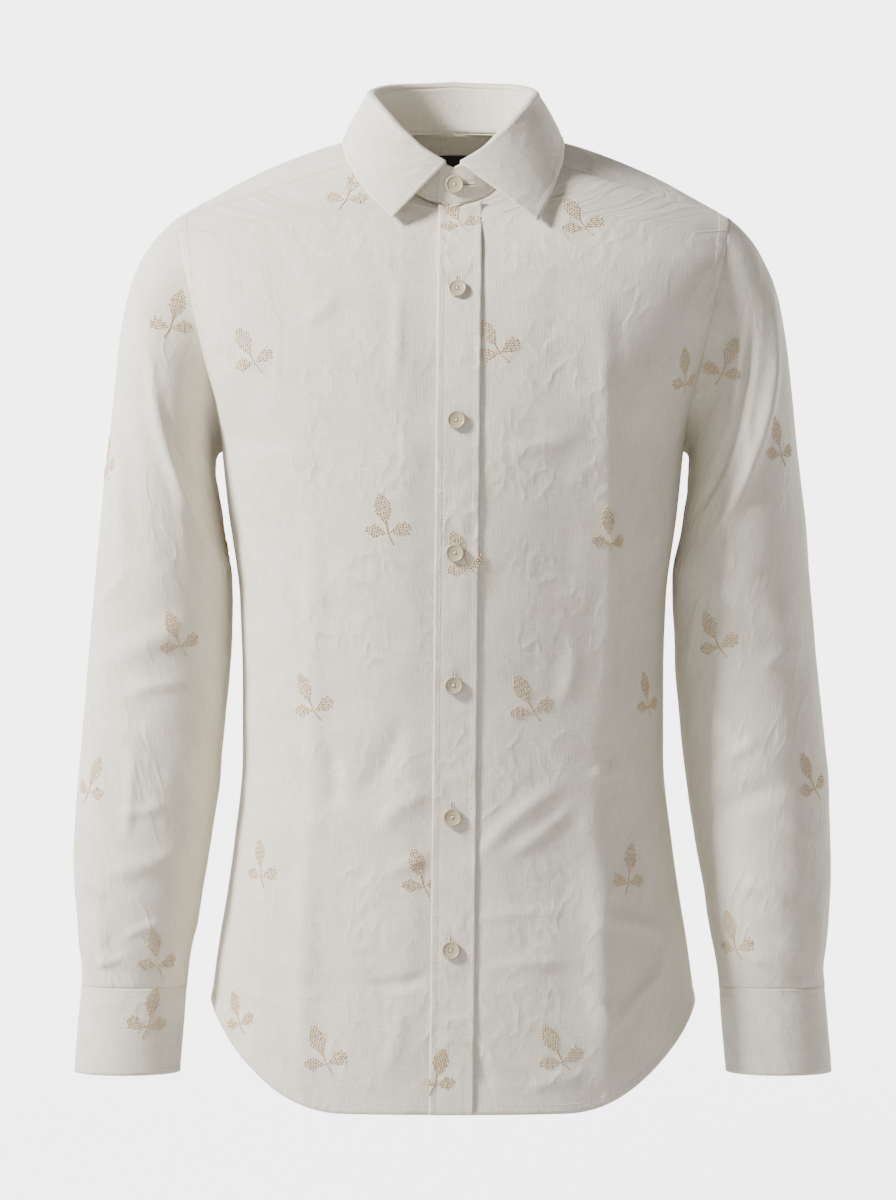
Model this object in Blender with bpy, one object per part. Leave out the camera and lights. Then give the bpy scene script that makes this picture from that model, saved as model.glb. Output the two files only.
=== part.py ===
# Embroidered linen shirt, buttoned and filled out as if worn on a general figure, with no wearer.
# The scene is in metres, +Z up. The front faces -Y and the wearer's left is +X.
# Sizes below are in millimetres, and put() turns them to metres.
# The origin is the middle of the neck, level with the high shoulder points.
import math

import bpy
import numpy as np

MM = 0.001

# Cloth thickness, and the clear space kept at seams and between layers.
CLOTH = 1.0
DOUBLED_CLOTH = 1.4
SEAM_INSET = 0.2
LAYER_GAP = 0.45

# Body sizes.
UNDERARM_LEVEL = -245.0
FRONT_HEM = -760.0
BACK_HEM = -768.0
SIDE_HEM = -682.0
HEM_CURVE_FROM = 0.27
HEM_CURVE_TO = 0.97
SECTION_POWER = 2.3
SHOULDER_LEVEL = 0.0
YOKE_LEVEL = -85.0

# Neck ring, collar and front edge.
NECK_HALF_WIDTH = 62.0
NECK_HALF_DEPTH = 55.0
NECK_MIDDLE_Y = -8.0
SHOULDER_SEAM_TURN = 65.0
FRONT_OVERLAP = 10.0
UNDER_GAP = 0.9
UNDER_FROM = 12.0
UNDER_TO = 40.0
FOLDS_FROM = 26.0
FOLDS_TO = 50.0
STAND_OVERLAP_TURN = 11.0
STAND_INNER_TURN = 3.0
FALL_FRONT_TURN = 5.0
STAND_LIFT = 0.9
ROLL_RADIUS = 4.6
ROLL_SHARE = 0.25
FALL_BULGE = 3.0

# Placket and buttons.
PLACKET_HALF_WIDTH = 17.0
PLACKET_GAP = 0.6
PLACKET_TOP_X = 5.5
PLACKET_HEM_X = -1.5
BUTTON_RADIUS = 7.2
BUTTON_THICKNESS = 2.6
BUTTON_SIDES = 12
FIRST_BUTTON_Z = -123.5
BUTTON_SPACING = 102.1
PLACKET_BUTTONS = 6
BUTTON_SHIFT = -1.5

# Cuffs, sleeve plackets and label.
CUFF_HEIGHT = 68.0
CUFF_OVERLAP_TURN = 26.0
CUFF_OPENING_TURN = 245.0
GAUNTLET_LENGTH = 150.0
GAUNTLET_WIDTH = 24.0

# Where the folds die out: towards the side seams, the tops of the panels and the ends of a sleeve.
SIDE_FADE = (0.88, 1.0)
FRONT_TOP_FADE = (-130.0, -90.0)
BACK_TOP_FADE = (-150.0, -110.0)
SLEEVE_TOP_FADE = (0.1, 0.16)
SLEEVE_END_FADE = (0.95, 1.0)

# Turns over which the lower end of an overlap is pushed in, from where it starts to where it ends.
STAND_TUCK = (24.0, 3.0)
CUFF_TUCK = (4.0, 30.0)


def table(names, *rows):
    """A table as a dictionary: one array for each named column."""
    return dict(zip(names.split(), np.array(rows, float).T))


# Neck seam height round the ring: turn 0 is the centre front, 180 the centre back.
NECK = table(
    "turn z stand_height roll",
    (0, -56, 31, 0.45),
    (20, -50, 37, 0.7),
    (34, -41, 41, 0.9),
    (50, -23, 38, 1),
    (68, -8, 36, 1),
    (90, 2, 35, 1),
    (135, 12, 36, 1),
    (180, 15, 37, 1),
)

# One row for each level of the front, from the hem to the shoulder seam.
# inner_y is the centre front line and outer_* the side seam, then the armhole.
FRONT = table(
    "level inner_y outer_x outer_y outer_z round",
    (-770, -126, 198, 0, -770, 1),
    (-700, -122, 195, 0, -700, 1),
    (-668, -119, 191, 0, -668, 1),
    (-632, -117, 186, 0, -632, 1),
    (-596, -114, 180, 0, -596, 1),
    (-560, -112, 175, 0, -560, 1),
    (-488, -110, 168, 0, -488, 1),
    (-430, -112, 168, 0, -430, 1),
    (-364, -117, 170, 0, -364, 1),
    (-293, -122, 179, 0, -293, 1),
    (-245, -124, 184, 0, -245, 1),
    (-215, -122, 187, -26, -213, 0.95),
    (-180, -117, 195, -42, -178, 0.9),
    (-140, -108, 203.5, -49, -140, 0.8),
    (-100, -92, 211, -46, -107, 0.65),
    (-55, -63, 216.5, -34, -82, 0.42),
    (-25, -63, 219, -21, -67, 0.22),
    (0, -63, 220, -8, -59, 0),
)

# The same for the back, up to the yoke seam. Below the underarm the widths are the front's.
BACK = table(
    "level inner_y outer_x outer_y outer_z round",
    (-770, 122, 198, 0, -770, 1),
    (-700, 118, 195, 0, -700, 1),
    (-668, 115, 191, 0, -668, 1),
    (-632, 112, 186, 0, -632, 1),
    (-596, 108, 180, 0, -596, 1),
    (-560, 104, 175, 0, -560, 1),
    (-488, 98, 168, 0, -488, 1),
    (-430, 97, 168, 0, -430, 1),
    (-364, 102, 170, 0, -364, 1),
    (-293, 110, 179, 0, -293, 1),
    (-245, 116, 184, 0, -245, 1),
    (-210, 118, 187, 27, -208, 0.95),
    (-170, 118, 195, 41, -168, 0.88),
    (-125, 111, 205, 45, -126, 0.8),
    (-85, 99, 212, 42, -94, 0.7),
)

# Edges of the yoke by share of the way from the back seam, over the shoulder, to the front seam.
YOKE_BACK_SHARE = 0.3
YOKE_CENTRE = table(
    "share y z round",
    (0, 99, -85, 0.7),
    (0.1, 91, -50, 0.62),
    (0.2, 74, -15, 0.5),
    (0.3, 47, 15, 0.35),
    (0.6, 47, 15, 0.1),
    (1, 47, 15, 0),
)
YOKE_ARMHOLE = table(
    "share x y z",
    (0, 212, 42, -94),
    (0.25, 216.5, 34, -76),
    (0.5, 219.5, 21, -64),
    (0.75, 220.5, 7, -58),
    (1, 220, -8, -59),
)

# Rings of the sleeve by share of its length: the outermost and innermost point of each,
# its half depth, and how much of the armhole's own outline it keeps.
SLEEVE = table(
    "share outer_x outer_z inner_x inner_z middle_y half_depth armhole",
    (0, 220, -58, 184, -245, 0, 50, 1),
    (0.04, 231, -68, 187.5, -247.5, 0, 54, 0.85),
    (0.08, 245, -86, 189.3, -253, 0, 57, 0.6),
    (0.13, 257, -113, 188.8, -262, -1, 60, 0.35),
    (0.18, 265, -150, 187, -275, -1, 61, 0.15),
    (0.24, 271, -195, 184.5, -293, -2, 61.5, 0.04),
    (0.31, 276, -245, 180.5, -318, -2, 61, 0),
    (0.39, 282, -305, 175.5, -348, -3, 60, 0),
    (0.47, 287, -365, 177, -388, -3, 58, 0),
    (0.55, 292, -425, 179.5, -434, -4, 57, 0),
    (0.63, 297, -476, 183, -482, -6, 56, 0),
    (0.71, 300, -524, 188.5, -529, -9, 54, 0),
    (0.79, 301, -572, 196.5, -576, -14, 51, 0),
    (0.88, 298, -620, 204, -622, -19, 46, 0),
    (0.95, 294.5, -652, 209.5, -653, -23, 40, 0),
    (1, 295, -669, 211, -669, -24, 36, 0),
)
CUFF_END = {"outer_x": 300.0, "inner_x": 216.0, "middle_y": -30.0, "half_depth": 34.0}

# Outer edge of the collar fall: turn on the roll line, and where that edge lies.
FALL_EDGE = table(
    "turn x y z",
    (5, 67, -74.5, -67),
    (35, 80, -53.5, -38.5),
    (65, 88, -28, -12),
    (95, 88.5, -2, 2.5),
    (125, 77, 34, 12),
    (155, 45, 61, 12),
    (180, 0, 63, 12),
    (205, -45, 61, 12),
    (235, -77, 34, 12),
    (265, -88.5, -2, 2.5),
    (295, -86, -29, -12.5),
    (325, -72, -55.5, -38.5),
    (355, -48, -75, -65),
)

# Largest folds of the fronts, drawn in the front view: where each runs, its width and height.
FRONT_FOLDS = table(
    "from_x from_z to_x to_z width height",
    (-112, -300, -113, -540, 9, 2.2),
    (-113, -540, -118, -735, 11, 2.6),
    (118, -140, 121, -470, 9, 2.6),
    (121, -470, 116, -560, 12, -2.4),
    (116, -560, 124, -735, 12, 3.2),
    (170, -610, 140, -700, 9, 2.8),
    (-150, -330, -118, -440, 10, 1.8),
    (150, -350, 128, -440, 10, -2.2),
    (-60, -520, -20, -560, 9, 1.5),
    (60, -620, 24, -650, 9, 1.5),
)
BACK_FOLDS = table(
    "from_x from_z to_x to_z width height",
    (-110, -170, -112, -700, 11, 2.4),
    (108, -180, 112, -700, 11, 2.6),
    (-60, -380, -130, -470, 12, 2),
    (40, -420, 135, -500, 12, 2),
    (-30, -560, -120, -620, 12, 1.8),
    (20, -300, 120, -350, 12, 1.8),
)

# Largest folds of the sleeves: turn 0 is the underarm, 90 the front, 180 the outer side.
SLEEVE_FOLDS = table(
    "from_turn from_share to_turn to_share width height",
    (110, 0.16, 52, 0.33, 11, 3.6),
    (150, 0.24, 128, 0.42, 10, 2.4),
    (60, 0.46, 140, 0.53, 11, 2.6),
    (45, 0.66, 125, 0.6, 11, 2.4),
    (50, 0.76, 120, 0.8, 10, 2),
    (200, 0.28, 300, 0.34, 14, 2.8),
    (205, 0.48, 305, 0.55, 13, 2.6),
    (215, 0.68, 315, 0.63, 12, 2.4),
    (130, 0.85, 120, 0.96, 10, 1.8),
)


def smooth(keys, values, at):
    """Monotone cubic through (keys, values), read at each place and held past both ends."""
    at = np.clip(np.asarray(at, float), keys[0], keys[-1])
    step = np.diff(keys)
    slope = np.diff(values) / step
    tangent = np.concatenate([slope[:1], np.zeros(len(keys) - 2), slope[-1:]])
    product = slope[:-1] * slope[1:]
    total = slope[:-1] + slope[1:]
    same_way = product > 0
    tangent[1:-1][same_way] = 2 * product[same_way] / total[same_way]
    part = np.clip(np.searchsorted(keys, at, side="right") - 1, 0, len(keys) - 2)
    t = (at - keys[part]) / step[part]
    return (
        values[part] * (1 + 2 * t) * (1 - t) ** 2
        + values[part + 1] * t**2 * (3 - 2 * t)
        + step[part] * (tangent[part] * t * (1 - t) ** 2 - tangent[part + 1] * t**2 * (1 - t))
    )


def ease(low, high, at):
    """0 below low, 1 above high, and a soft step between them."""
    t = np.clip((at - low) / (high - low), 0, 1)
    return t * t * (3 - 2 * t)


def stack(x, y, z):
    return np.stack(np.broadcast_arrays(x, y, z), axis=-1).astype(float)


def power(value):
    """Superellipse coordinate of a sine or cosine, with its sign kept."""
    return np.sign(value) * np.abs(value) ** (2 / SECTION_POWER)


def neck_point(turn):
    """A point of the neck seam at this turn in degrees, on either side."""
    folded = np.abs((np.asarray(turn, float) + 180) % 360 - 180)
    angle = np.radians(turn)
    return stack(
        NECK_HALF_WIDTH * np.sin(angle),
        NECK_MIDDLE_Y - NECK_HALF_DEPTH * np.cos(angle),
        smooth(NECK["turn"], NECK["z"], folded),
    )


EDGE_TURN = -math.degrees(math.asin(FRONT_OVERLAP / NECK_HALF_WIDTH))
NECK_LEVEL = float(neck_point(EDGE_TURN)[2])


def row_width(angle, roundness):
    """Share of the way out along a row: a superellipse quarter mixed with even steps."""
    return roundness * power(np.sin(angle)) + (1 - roundness) * angle / (math.pi / 2)


def row_depth(angle, roundness, bend):
    """Share of the way back along a row, the same on both sides of the centre line."""
    plain = np.abs(angle / (math.pi / 2)) ** bend
    return roundness * (1 - power(np.cos(angle))) + (1 - roundness) * plain


def start_angle(target, roundness):
    """The angle where row_width reaches a small negative target, by halving."""
    low = np.full(np.shape(target), -0.5)
    high = np.zeros(np.shape(target))
    for _ in range(40):
        middle = (low + high) / 2
        under = row_width(middle, roundness) < target
        low = np.where(under, middle, low)
        high = np.where(under, high, middle)
    return high


def panel_point(shape, across, level, edge_x):
    """A point of a front or back half at x > 0: across 0 is its inner edge, 1 the side seam."""
    column = {name: smooth(shape["level"], shape[name], level) for name in shape}
    neck_share = np.clip((level - NECK_LEVEL) / (SHOULDER_LEVEL - NECK_LEVEL), 0, 1)
    roundness = column["round"]
    bend = 2 - neck_share
    start = start_angle(-edge_x * (1 - neck_share) / column["outer_x"], roundness)
    angle = start + (math.pi / 2 - start) * across
    first_width = row_width(start, roundness)
    first_depth = row_depth(start, roundness, bend)
    width = (row_width(angle, roundness) - first_width) / (1 - first_width)
    depth = (row_depth(angle, roundness, bend) - first_depth) / (1 - first_depth)
    neck = neck_point(EDGE_TURN + (SHOULDER_SEAM_TURN - EDGE_TURN) * neck_share)
    on_neck = (level > NECK_LEVEL) & (shape is FRONT)
    centre_y = column["inner_y"] + (column["outer_y"] - column["inner_y"]) * first_depth
    inner_x = np.where(on_neck, neck[..., 0], -edge_x)
    inner_y = np.where(on_neck, neck[..., 1], centre_y)
    inner_z = np.where(on_neck, neck[..., 2], level)
    return stack(
        inner_x + (column["outer_x"] - inner_x) * width,
        inner_y + (column["outer_y"] - inner_y) * depth,
        inner_z + (column["outer_z"] - inner_z) * depth,
    )


def hem_level(across, centre_hem):
    """Height of the curved hem: low at the centre, high at the side seam."""
    return centre_hem + (SIDE_HEM - centre_hem) * ease(HEM_CURVE_FROM, HEM_CURVE_TO, across)


def front_point(across, level):
    return panel_point(FRONT, across, level, FRONT_OVERLAP)


def back_point(across, level):
    return panel_point(BACK, across, level, 0.0)


def read_row(row, x):
    """A row of points read at this x, taken as its distance from the centre line."""
    side = np.abs(x)
    return stack(x, np.interp(side, row[:, 0], row[:, 1]), np.interp(side, row[:, 0], row[:, 2]))


def yoke_point(across, share):
    """A point of the yoke at x > 0, from its inner edge to the armhole, back seam to front seam."""
    neck_share = np.clip((share - YOKE_BACK_SHARE) / (1 - YOKE_BACK_SHARE), 0, 1)
    neck = neck_point(180 + (SHOULDER_SEAM_TURN - 180) * neck_share)
    on_neck = share >= YOKE_BACK_SHARE
    centre = {name: smooth(YOKE_CENTRE["share"], YOKE_CENTRE[name], share) for name in YOKE_CENTRE}
    outer = {name: smooth(YOKE_ARMHOLE["share"], YOKE_ARMHOLE[name], share) for name in YOKE_ARMHOLE}
    inner_x = np.where(on_neck, neck[..., 0], 0)
    inner_y = np.where(on_neck, neck[..., 1], centre["y"])
    inner_z = np.where(on_neck, neck[..., 2], centre["z"])
    angle = across * math.pi / 2
    width = row_width(angle, centre["round"])
    depth = row_depth(angle, centre["round"], 2 - neck_share)
    return stack(
        inner_x + (outer["x"] - inner_x) * width,
        inner_y + (outer["y"] - inner_y) * depth,
        inner_z + (outer["z"] - inner_z) * depth,
    )


def around(turn, outer_x, outer_z, inner_x, inner_z, middle_y, half_depth):
    """A point of an elliptical ring through its inner and outer points. Turn 90 is the front."""
    angle = np.radians(turn)
    share = (1 - np.cos(angle)) / 2
    return stack(
        inner_x + (outer_x - inner_x) * share,
        middle_y - half_depth * np.sin(angle),
        inner_z + (outer_z - inner_z) * share,
    )


RING_COLUMNS = ("outer_x", "outer_z", "inner_x", "inner_z", "middle_y", "half_depth")


def sleeve_ring_values(share):
    return {name: smooth(SLEEVE["share"], SLEEVE[name], share) for name in SLEEVE}


def sleeve_point(turn, share):
    """A point of the sleeve below the armhole's reach."""
    values = sleeve_ring_values(share)
    return around(turn, *(values[name] for name in RING_COLUMNS))


def sleeve_grid(armhole, shares):
    """Rings from the armhole's own outline to ellipses, one point for each point of the armhole."""
    steps = np.linalg.norm(np.diff(np.vstack([armhole, armhole[:1]]), axis=0), axis=1)
    turns = 360 * np.concatenate([[0], np.cumsum(steps)[:-1]]) / steps.sum()
    share, turn = np.meshgrid(shares, turns, indexing="ij")
    values = sleeve_ring_values(share)
    plain = around(turn, *(values[name] for name in RING_COLUMNS))

    def frame(at):
        start = stack(at["inner_x"], 0, at["inner_z"])
        way = stack(at["outer_x"] - at["inner_x"], 0, at["outer_z"] - at["inner_z"])
        across = stack(-way[..., 2], 0, way[..., 0])
        return start, way, across / np.linalg.norm(across, axis=-1, keepdims=True)

    start, way, across = frame(sleeve_ring_values(np.zeros(len(armhole))))
    part = np.sum((armhole - start) * way, -1) / np.sum(way * way, -1)
    aside = np.sum((armhole - start) * across, -1)
    start, way, across = frame(values)
    shaped = start + part[None, :, None] * way + aside[None, :, None] * across
    shaped[..., 1] += armhole[None, :, 1]
    kept = values["armhole"][..., None]
    grid = kept * shaped + (1 - kept) * plain
    return np.concatenate([grid, grid[:, :1]], axis=1), np.append(turns, 360.0)


def cuff_point(turn, fall):
    """A point of the cuff: fall 0 is its seam, 1 its lower edge."""
    top = sleeve_ring_values(1.0)
    low = dict(top, **CUFF_END)
    low["outer_z"] = low["inner_z"] = top["outer_z"] - CUFF_HEIGHT
    return around(turn, *(top[name] + (low[name] - top[name]) * fall for name in RING_COLUMNS))


def ring_normal(turn):
    """Level direction out from the neck at this turn."""
    angle = np.radians(turn)
    way = stack(np.sin(angle) / NECK_HALF_WIDTH, -np.cos(angle) / NECK_HALF_DEPTH, 0)
    return way / np.linalg.norm(way, axis=-1, keepdims=True)


def stand_point(turn, rise):
    """A point of the collar stand's outer face at this share of its height."""
    folded = np.abs((turn + 180) % 360 - 180)
    height = smooth(NECK["turn"], NECK["stand_height"], folded)
    point = neck_point(turn)
    point[..., 2] += STAND_LIFT + (height - STAND_LIFT) * rise
    return point


def fall_point(turn, down):
    """A point of the fall's visible face: over the roll first, then down to its outer edge."""
    folded = np.abs((turn + 180) % 360 - 180)
    radius = (ROLL_RADIUS * smooth(NECK["turn"], NECK["roll"], folded))[..., None]
    out = ring_normal(turn)
    start = stand_point(turn, 1.0) - out * DOUBLED_CLOTH
    start[..., 2] += LAYER_GAP
    bend = (np.clip(down / ROLL_SHARE, 0, 1) * math.pi)[..., None]
    up = np.array([0.0, 0.0, 1.0])
    rolled = start + out * radius * (1 - np.cos(bend)) + up * radius * np.sin(bend)
    edge = stack(*(smooth(FALL_EDGE["turn"], FALL_EDGE[name], turn) for name in "xyz"))
    top = start + out * radius * 2
    share = np.clip((down - ROLL_SHARE) / (1 - ROLL_SHARE), 0, 1)[..., None]
    middle = (top + edge) / 2 + out * FALL_BULGE
    flat = (1 - share) ** 2 * top + 2 * share * (1 - share) * middle + share**2 * edge
    return np.where(down[..., None] < ROLL_SHARE, rolled, flat)


def grid_normals(points):
    """Normals of a grid by its two directions, not yet turned outwards."""
    rows = np.gradient(points, axis=0)
    columns = np.gradient(points, axis=1)
    normal = np.cross(rows, columns)
    return normal / np.linalg.norm(normal, axis=-1, keepdims=True)


def outward(points, inside):
    """Grid normals that point away from a place inside."""
    normal = grid_normals(points)
    return normal if np.sum(normal * (points - inside)) > 0 else -normal


def fold_height(first, second, folds, names):
    """Sum of soft ridges, each along a line between two places and dying out at its ends."""
    height = np.zeros(np.shape(first))
    for row in range(len(folds["height"])):
        start, end = (
            np.array([folds[names[0].format(at)][row], folds[names[1].format(at)][row]])
            for at in ("from", "to")
        )
        way = end - start
        spot = np.stack([first, second], -1) - start
        share = np.clip(spot @ way / (way @ way), 0, 1)
        apart = np.linalg.norm(spot - share[..., None] * way, axis=-1)
        height += folds["height"][row] * np.exp(-((apart / folds["width"][row]) ** 2))
    return height


def faces_of(points, inside):
    """Quads of a grid, wound so that their normals point away from a place inside."""
    rows, columns = points.shape[:2]
    index = np.arange(rows * columns).reshape(rows, columns)
    quads = np.stack([index[:-1, :-1], index[:-1, 1:], index[1:, 1:], index[1:, :-1]], -1)
    quads = quads.reshape(-1, 4)
    flat = points.reshape(-1, 3)
    normal = np.cross(flat[quads[:, 2]] - flat[quads[:, 0]], flat[quads[:, 3]] - flat[quads[:, 1]])
    if np.sum(normal * (flat[quads].mean(1) - inside)) < 0:
        quads = quads[:, ::-1]
    return quads


WELD_DIGITS = 3


class Sheet:
    """One cut piece as a single surface, before it gets its thickness."""

    def __init__(self, name, grids, inside, thickness, look):
        self.name = name
        self.thickness = thickness
        self.look = look
        points = []
        faces = []
        for grid in grids:
            faces.append(faces_of(grid, np.array(inside, float)) + sum(len(p) for p in points))
            points.append(grid.reshape(-1, 3))
        keys = np.round(np.vstack(points), WELD_DIGITS) + 0.0
        _, first, index = np.unique(keys, axis=0, return_index=True, return_inverse=True)
        self.points = np.vstack(points)[first]
        self.faces = index.reshape(-1)[np.vstack(faces)]
        corner = self.points[self.faces]
        self.face_normals = np.cross(corner[:, 2] - corner[:, 0], corner[:, 3] - corner[:, 1])
        self.normals = np.zeros_like(self.points)
        np.add.at(self.normals, self.faces.ravel(), np.repeat(self.face_normals, 4, axis=0))

    def keys(self):
        return [tuple(key) for key in np.round(self.points, WELD_DIGITS) + 0.0]

    def open_edges(self):
        edges = np.stack([self.faces, np.roll(self.faces, -1, axis=1)], -1).reshape(-1, 2)
        both = {tuple(edge) for edge in edges.tolist()}
        owner = np.repeat(np.arange(len(self.faces)), 4)
        kept = [k for k, (a, b) in enumerate(edges.tolist()) if (b, a) not in both]
        return edges[kept], owner[kept]


def share_seam_normals(sheets):
    """Points that two pieces share get the mean of both normals, so their edges meet squarely."""
    total = {}
    for sheet in sheets:
        for key, normal in zip(sheet.keys(), sheet.normals):
            total[key] = total.get(key, 0) + normal
    for sheet in sheets:
        sheet.normals = np.array([total[key] for key in sheet.keys()])


def wall(sheet):
    """Points and faces of the closed wall: the sheet, drawn in at its edges, and its inner copy."""
    unit = sheet.normals / np.linalg.norm(sheet.normals, axis=1, keepdims=True)
    edges, owner = sheet.open_edges()
    way = sheet.points[edges[:, 1]] - sheet.points[edges[:, 0]]
    inward = np.cross(sheet.face_normals[owner], way)
    inward /= np.linalg.norm(inward, axis=1, keepdims=True)
    first = np.zeros_like(sheet.points)
    second = np.zeros_like(sheet.points)
    first[edges[:, 0]] = inward
    second[edges[:, 1]] = inward
    turn = 1 + np.sum(first * second, axis=1, keepdims=True)
    outer = sheet.points + SEAM_INSET * (first + second) / np.maximum(turn, 0.4)
    inner = outer - sheet.thickness * unit
    count = len(outer)
    rims = np.stack([edges[:, 1], edges[:, 0], edges[:, 0] + count, edges[:, 1] + count], -1)
    faces = np.vstack([sheet.faces, sheet.faces[:, ::-1] + count, rims])
    return np.vstack([outer, inner]), faces


# Spacing of the grids. Columns stand closer where the pressed creases run.
PANEL_COLUMNS = np.array(
    [0, 0.03, 0.07, 0.12, 0.19, 0.27, 0.35, 0.41, 0.46, 0.51, 0.58, 0.67, 0.77, 0.88, 1]
)
LOWER_ROWS = np.linspace(1, 0, 12)
FRONT_CHEST_ROWS = np.linspace(UNDERARM_LEVEL, NECK_LEVEL, 6)[1:]
FALL_TURNS = np.linspace(FALL_FRONT_TURN, 360 - FALL_FRONT_TURN, 36)
FRONT_NECK_TURNS = FALL_TURNS[FALL_TURNS <= SHOULDER_SEAM_TURN]
FRONT_NECK_SHARES = (FRONT_NECK_TURNS - EDGE_TURN) / (SHOULDER_SEAM_TURN - EDGE_TURN)
FRONT_NECK_ROWS = NECK_LEVEL + (SHOULDER_LEVEL - NECK_LEVEL) * FRONT_NECK_SHARES
BACK_CHEST_ROWS = np.linspace(UNDERARM_LEVEL, YOKE_LEVEL, 5)[1:]
LABEL_ROWS = np.array([0.18, 0.215, 0.25])
YOKE_ROWS = np.concatenate([[0, 0.09], LABEL_ROWS, np.linspace(YOKE_BACK_SHARE, 1, 7)])
LABEL_COLUMNS = PANEL_COLUMNS[:3]
SLEEVE_ROWS = np.array(
    [0, 0.03, 0.06, 0.1, 0.14, 0.18, 0.23, 0.28, 0.33, 0.38, 0.43]
    + [0.48, 0.53, 0.58, 0.63, 0.68, 0.73, 0.78, 0.83, 0.88, 0.94, 1]
)
CUFF_TURNS = 28
CUFF_ROWS = 3
GAUNTLET_COLUMNS = 5
GAUNTLET_END = 0.995
PLACKET_COLUMNS = 6
STAND_ROWS = 4
ROLL_ROWS = 5
FLAT_ROWS = 5
CENTRE_ROW_POINTS = 60
CENTRE_ROW_REACH = 0.4
SLEEVE_LENGTH = 620.0
MM_PER_TURN = 1.0

# Places inside the pieces, which their outer faces look away from.
BODY_MIDDLE = (0.0, 0.0, -300.0)
YOKE_MIDDLE = (0.0, 0.0, -200.0)
NECK_MIDDLE = (0.0, NECK_MIDDLE_Y, 20.0)
SLEEVE_MIDDLE = (240.0, 0.0, -400.0)
WRIST_MIDDLE = (255.0, -28.0, -700.0)


def levels_of(columns, centre_hem, upper_rows):
    """Levels of a panel's grid: rows from the curved hem to the underarm, then level ones."""
    hem = hem_level(columns, centre_hem)
    lower = UNDERARM_LEVEL + (hem - UNDERARM_LEVEL) * LOWER_ROWS[:, None]
    upper = np.repeat(upper_rows[:, None], len(columns), axis=1)
    return np.vstack([lower, upper])


def mirrored(points):
    """The same points on the wearer's other side."""
    return np.asarray(points) * np.array([-1.0, 1.0, 1.0])


def folded_panel(points, folds, across, level):
    """The panel with its folds, which die out at its seams and above the chest."""
    clear = ease(FOLDS_FROM, FOLDS_TO, np.abs(points[..., 0]))
    fade = clear * (1 - ease(*SIDE_FADE, across)) * (1 - ease(*FRONT_TOP_FADE, level))
    height = fold_height(points[..., 0], points[..., 2], folds, ("{}_x", "{}_z"))
    return points + outward(points, np.array(BODY_MIDDLE)) * (fade * height)[..., None]


def front_grid(side):
    level = levels_of(PANEL_COLUMNS, FRONT_HEM, np.concatenate([FRONT_CHEST_ROWS, FRONT_NECK_ROWS]))
    across = np.broadcast_to(PANEL_COLUMNS, level.shape)
    points = front_point(across, level)
    if side < 0:
        points = mirrored(points)
        under = (CLOTH + UNDER_GAP) * (1 - ease(UNDER_FROM, UNDER_TO, -points[..., 0]))
        points = points - outward(points, np.array(BODY_MIDDLE)) * under[..., None]
    return folded_panel(points, FRONT_FOLDS, across, level)


def back_grids():
    level = levels_of(PANEL_COLUMNS, BACK_HEM, BACK_CHEST_ROWS)
    across = np.broadcast_to(PANEL_COLUMNS, level.shape)
    half = back_point(across, level)
    both = np.concatenate([mirrored(half)[:, :0:-1], half], axis=1)
    spread = np.concatenate([across[:, :0:-1], across], axis=1)
    levels = np.concatenate([level[:, :0:-1], level], axis=1)
    fade = (1 - ease(*SIDE_FADE, spread)) * (1 - ease(*BACK_TOP_FADE, levels))
    height = fold_height(both[..., 0], both[..., 2], BACK_FOLDS, ("{}_x", "{}_z"))
    return [both + outward(both, np.array(BODY_MIDDLE)) * (fade * height)[..., None]]


def yoke_grids():
    share, across = np.meshgrid(YOKE_ROWS, PANEL_COLUMNS, indexing="ij")
    half = yoke_point(across, share)
    return [half, mirrored(half)]


def armhole_ring():
    """The armhole's outline: up the front from the underarm, over the yoke and down the back."""
    front = np.concatenate([[UNDERARM_LEVEL], FRONT_CHEST_ROWS, FRONT_NECK_ROWS])
    one = np.ones
    up = front_point(one(len(front)), front)
    over = yoke_point(one(len(YOKE_ROWS)), YOKE_ROWS)[::-1][1:]
    down = back_point(one(len(BACK_CHEST_ROWS)), BACK_CHEST_ROWS)[::-1][1:]
    return np.vstack([up, over, down])


def sleeve_with_folds(points, turn, share, folds):
    fade = ease(*SLEEVE_TOP_FADE, share) * (1 - ease(*SLEEVE_END_FADE, share))
    names = ("{}_turn", "{}_share")
    height = fold_height(turn * MM_PER_TURN, share * SLEEVE_LENGTH, scaled(folds), names)
    middle = np.mean(points, axis=1, keepdims=True)
    return points + outward(points, middle) * (fade * height)[..., None]


def scaled(folds):
    """The sleeve's fold table with its turns and shares as millimetres over the cloth."""
    factor = {"turn": MM_PER_TURN, "share": SLEEVE_LENGTH}
    return {name: folds[name] * factor.get(name.split("_")[-1], 1) for name in folds}


def sleeve_sheet_grid(side):
    points, turns = sleeve_grid(armhole_ring(), SLEEVE_ROWS)
    share, turn = np.meshgrid(SLEEVE_ROWS, turns, indexing="ij")
    points = sleeve_with_folds(points, turn, share, SLEEVE_FOLDS)
    points[:, -1] = points[:, 0]
    return points if side > 0 else mirrored(points)


def cuff_grid(side):
    """A band once round the wrist, its ends overlapped, with the lower end pushed in."""
    half = CUFF_OVERLAP_TURN / 2
    turns = np.linspace(CUFF_OPENING_TURN - half, CUFF_OPENING_TURN + half + 360, CUFF_TURNS)
    fall, turn = np.meshgrid(np.linspace(0, 1, CUFF_ROWS), turns, indexing="ij")
    points = cuff_point(turn, fall)
    past_overlap = turn - CUFF_OPENING_TURN - half
    under = 1 - ease(*CUFF_TUCK, past_overlap)
    middle = np.mean(points, axis=1, keepdims=True)
    points = points - outward(points, middle) * (under * (DOUBLED_CLOTH + LAYER_GAP))[..., None]
    return points if side > 0 else mirrored(points)


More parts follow.
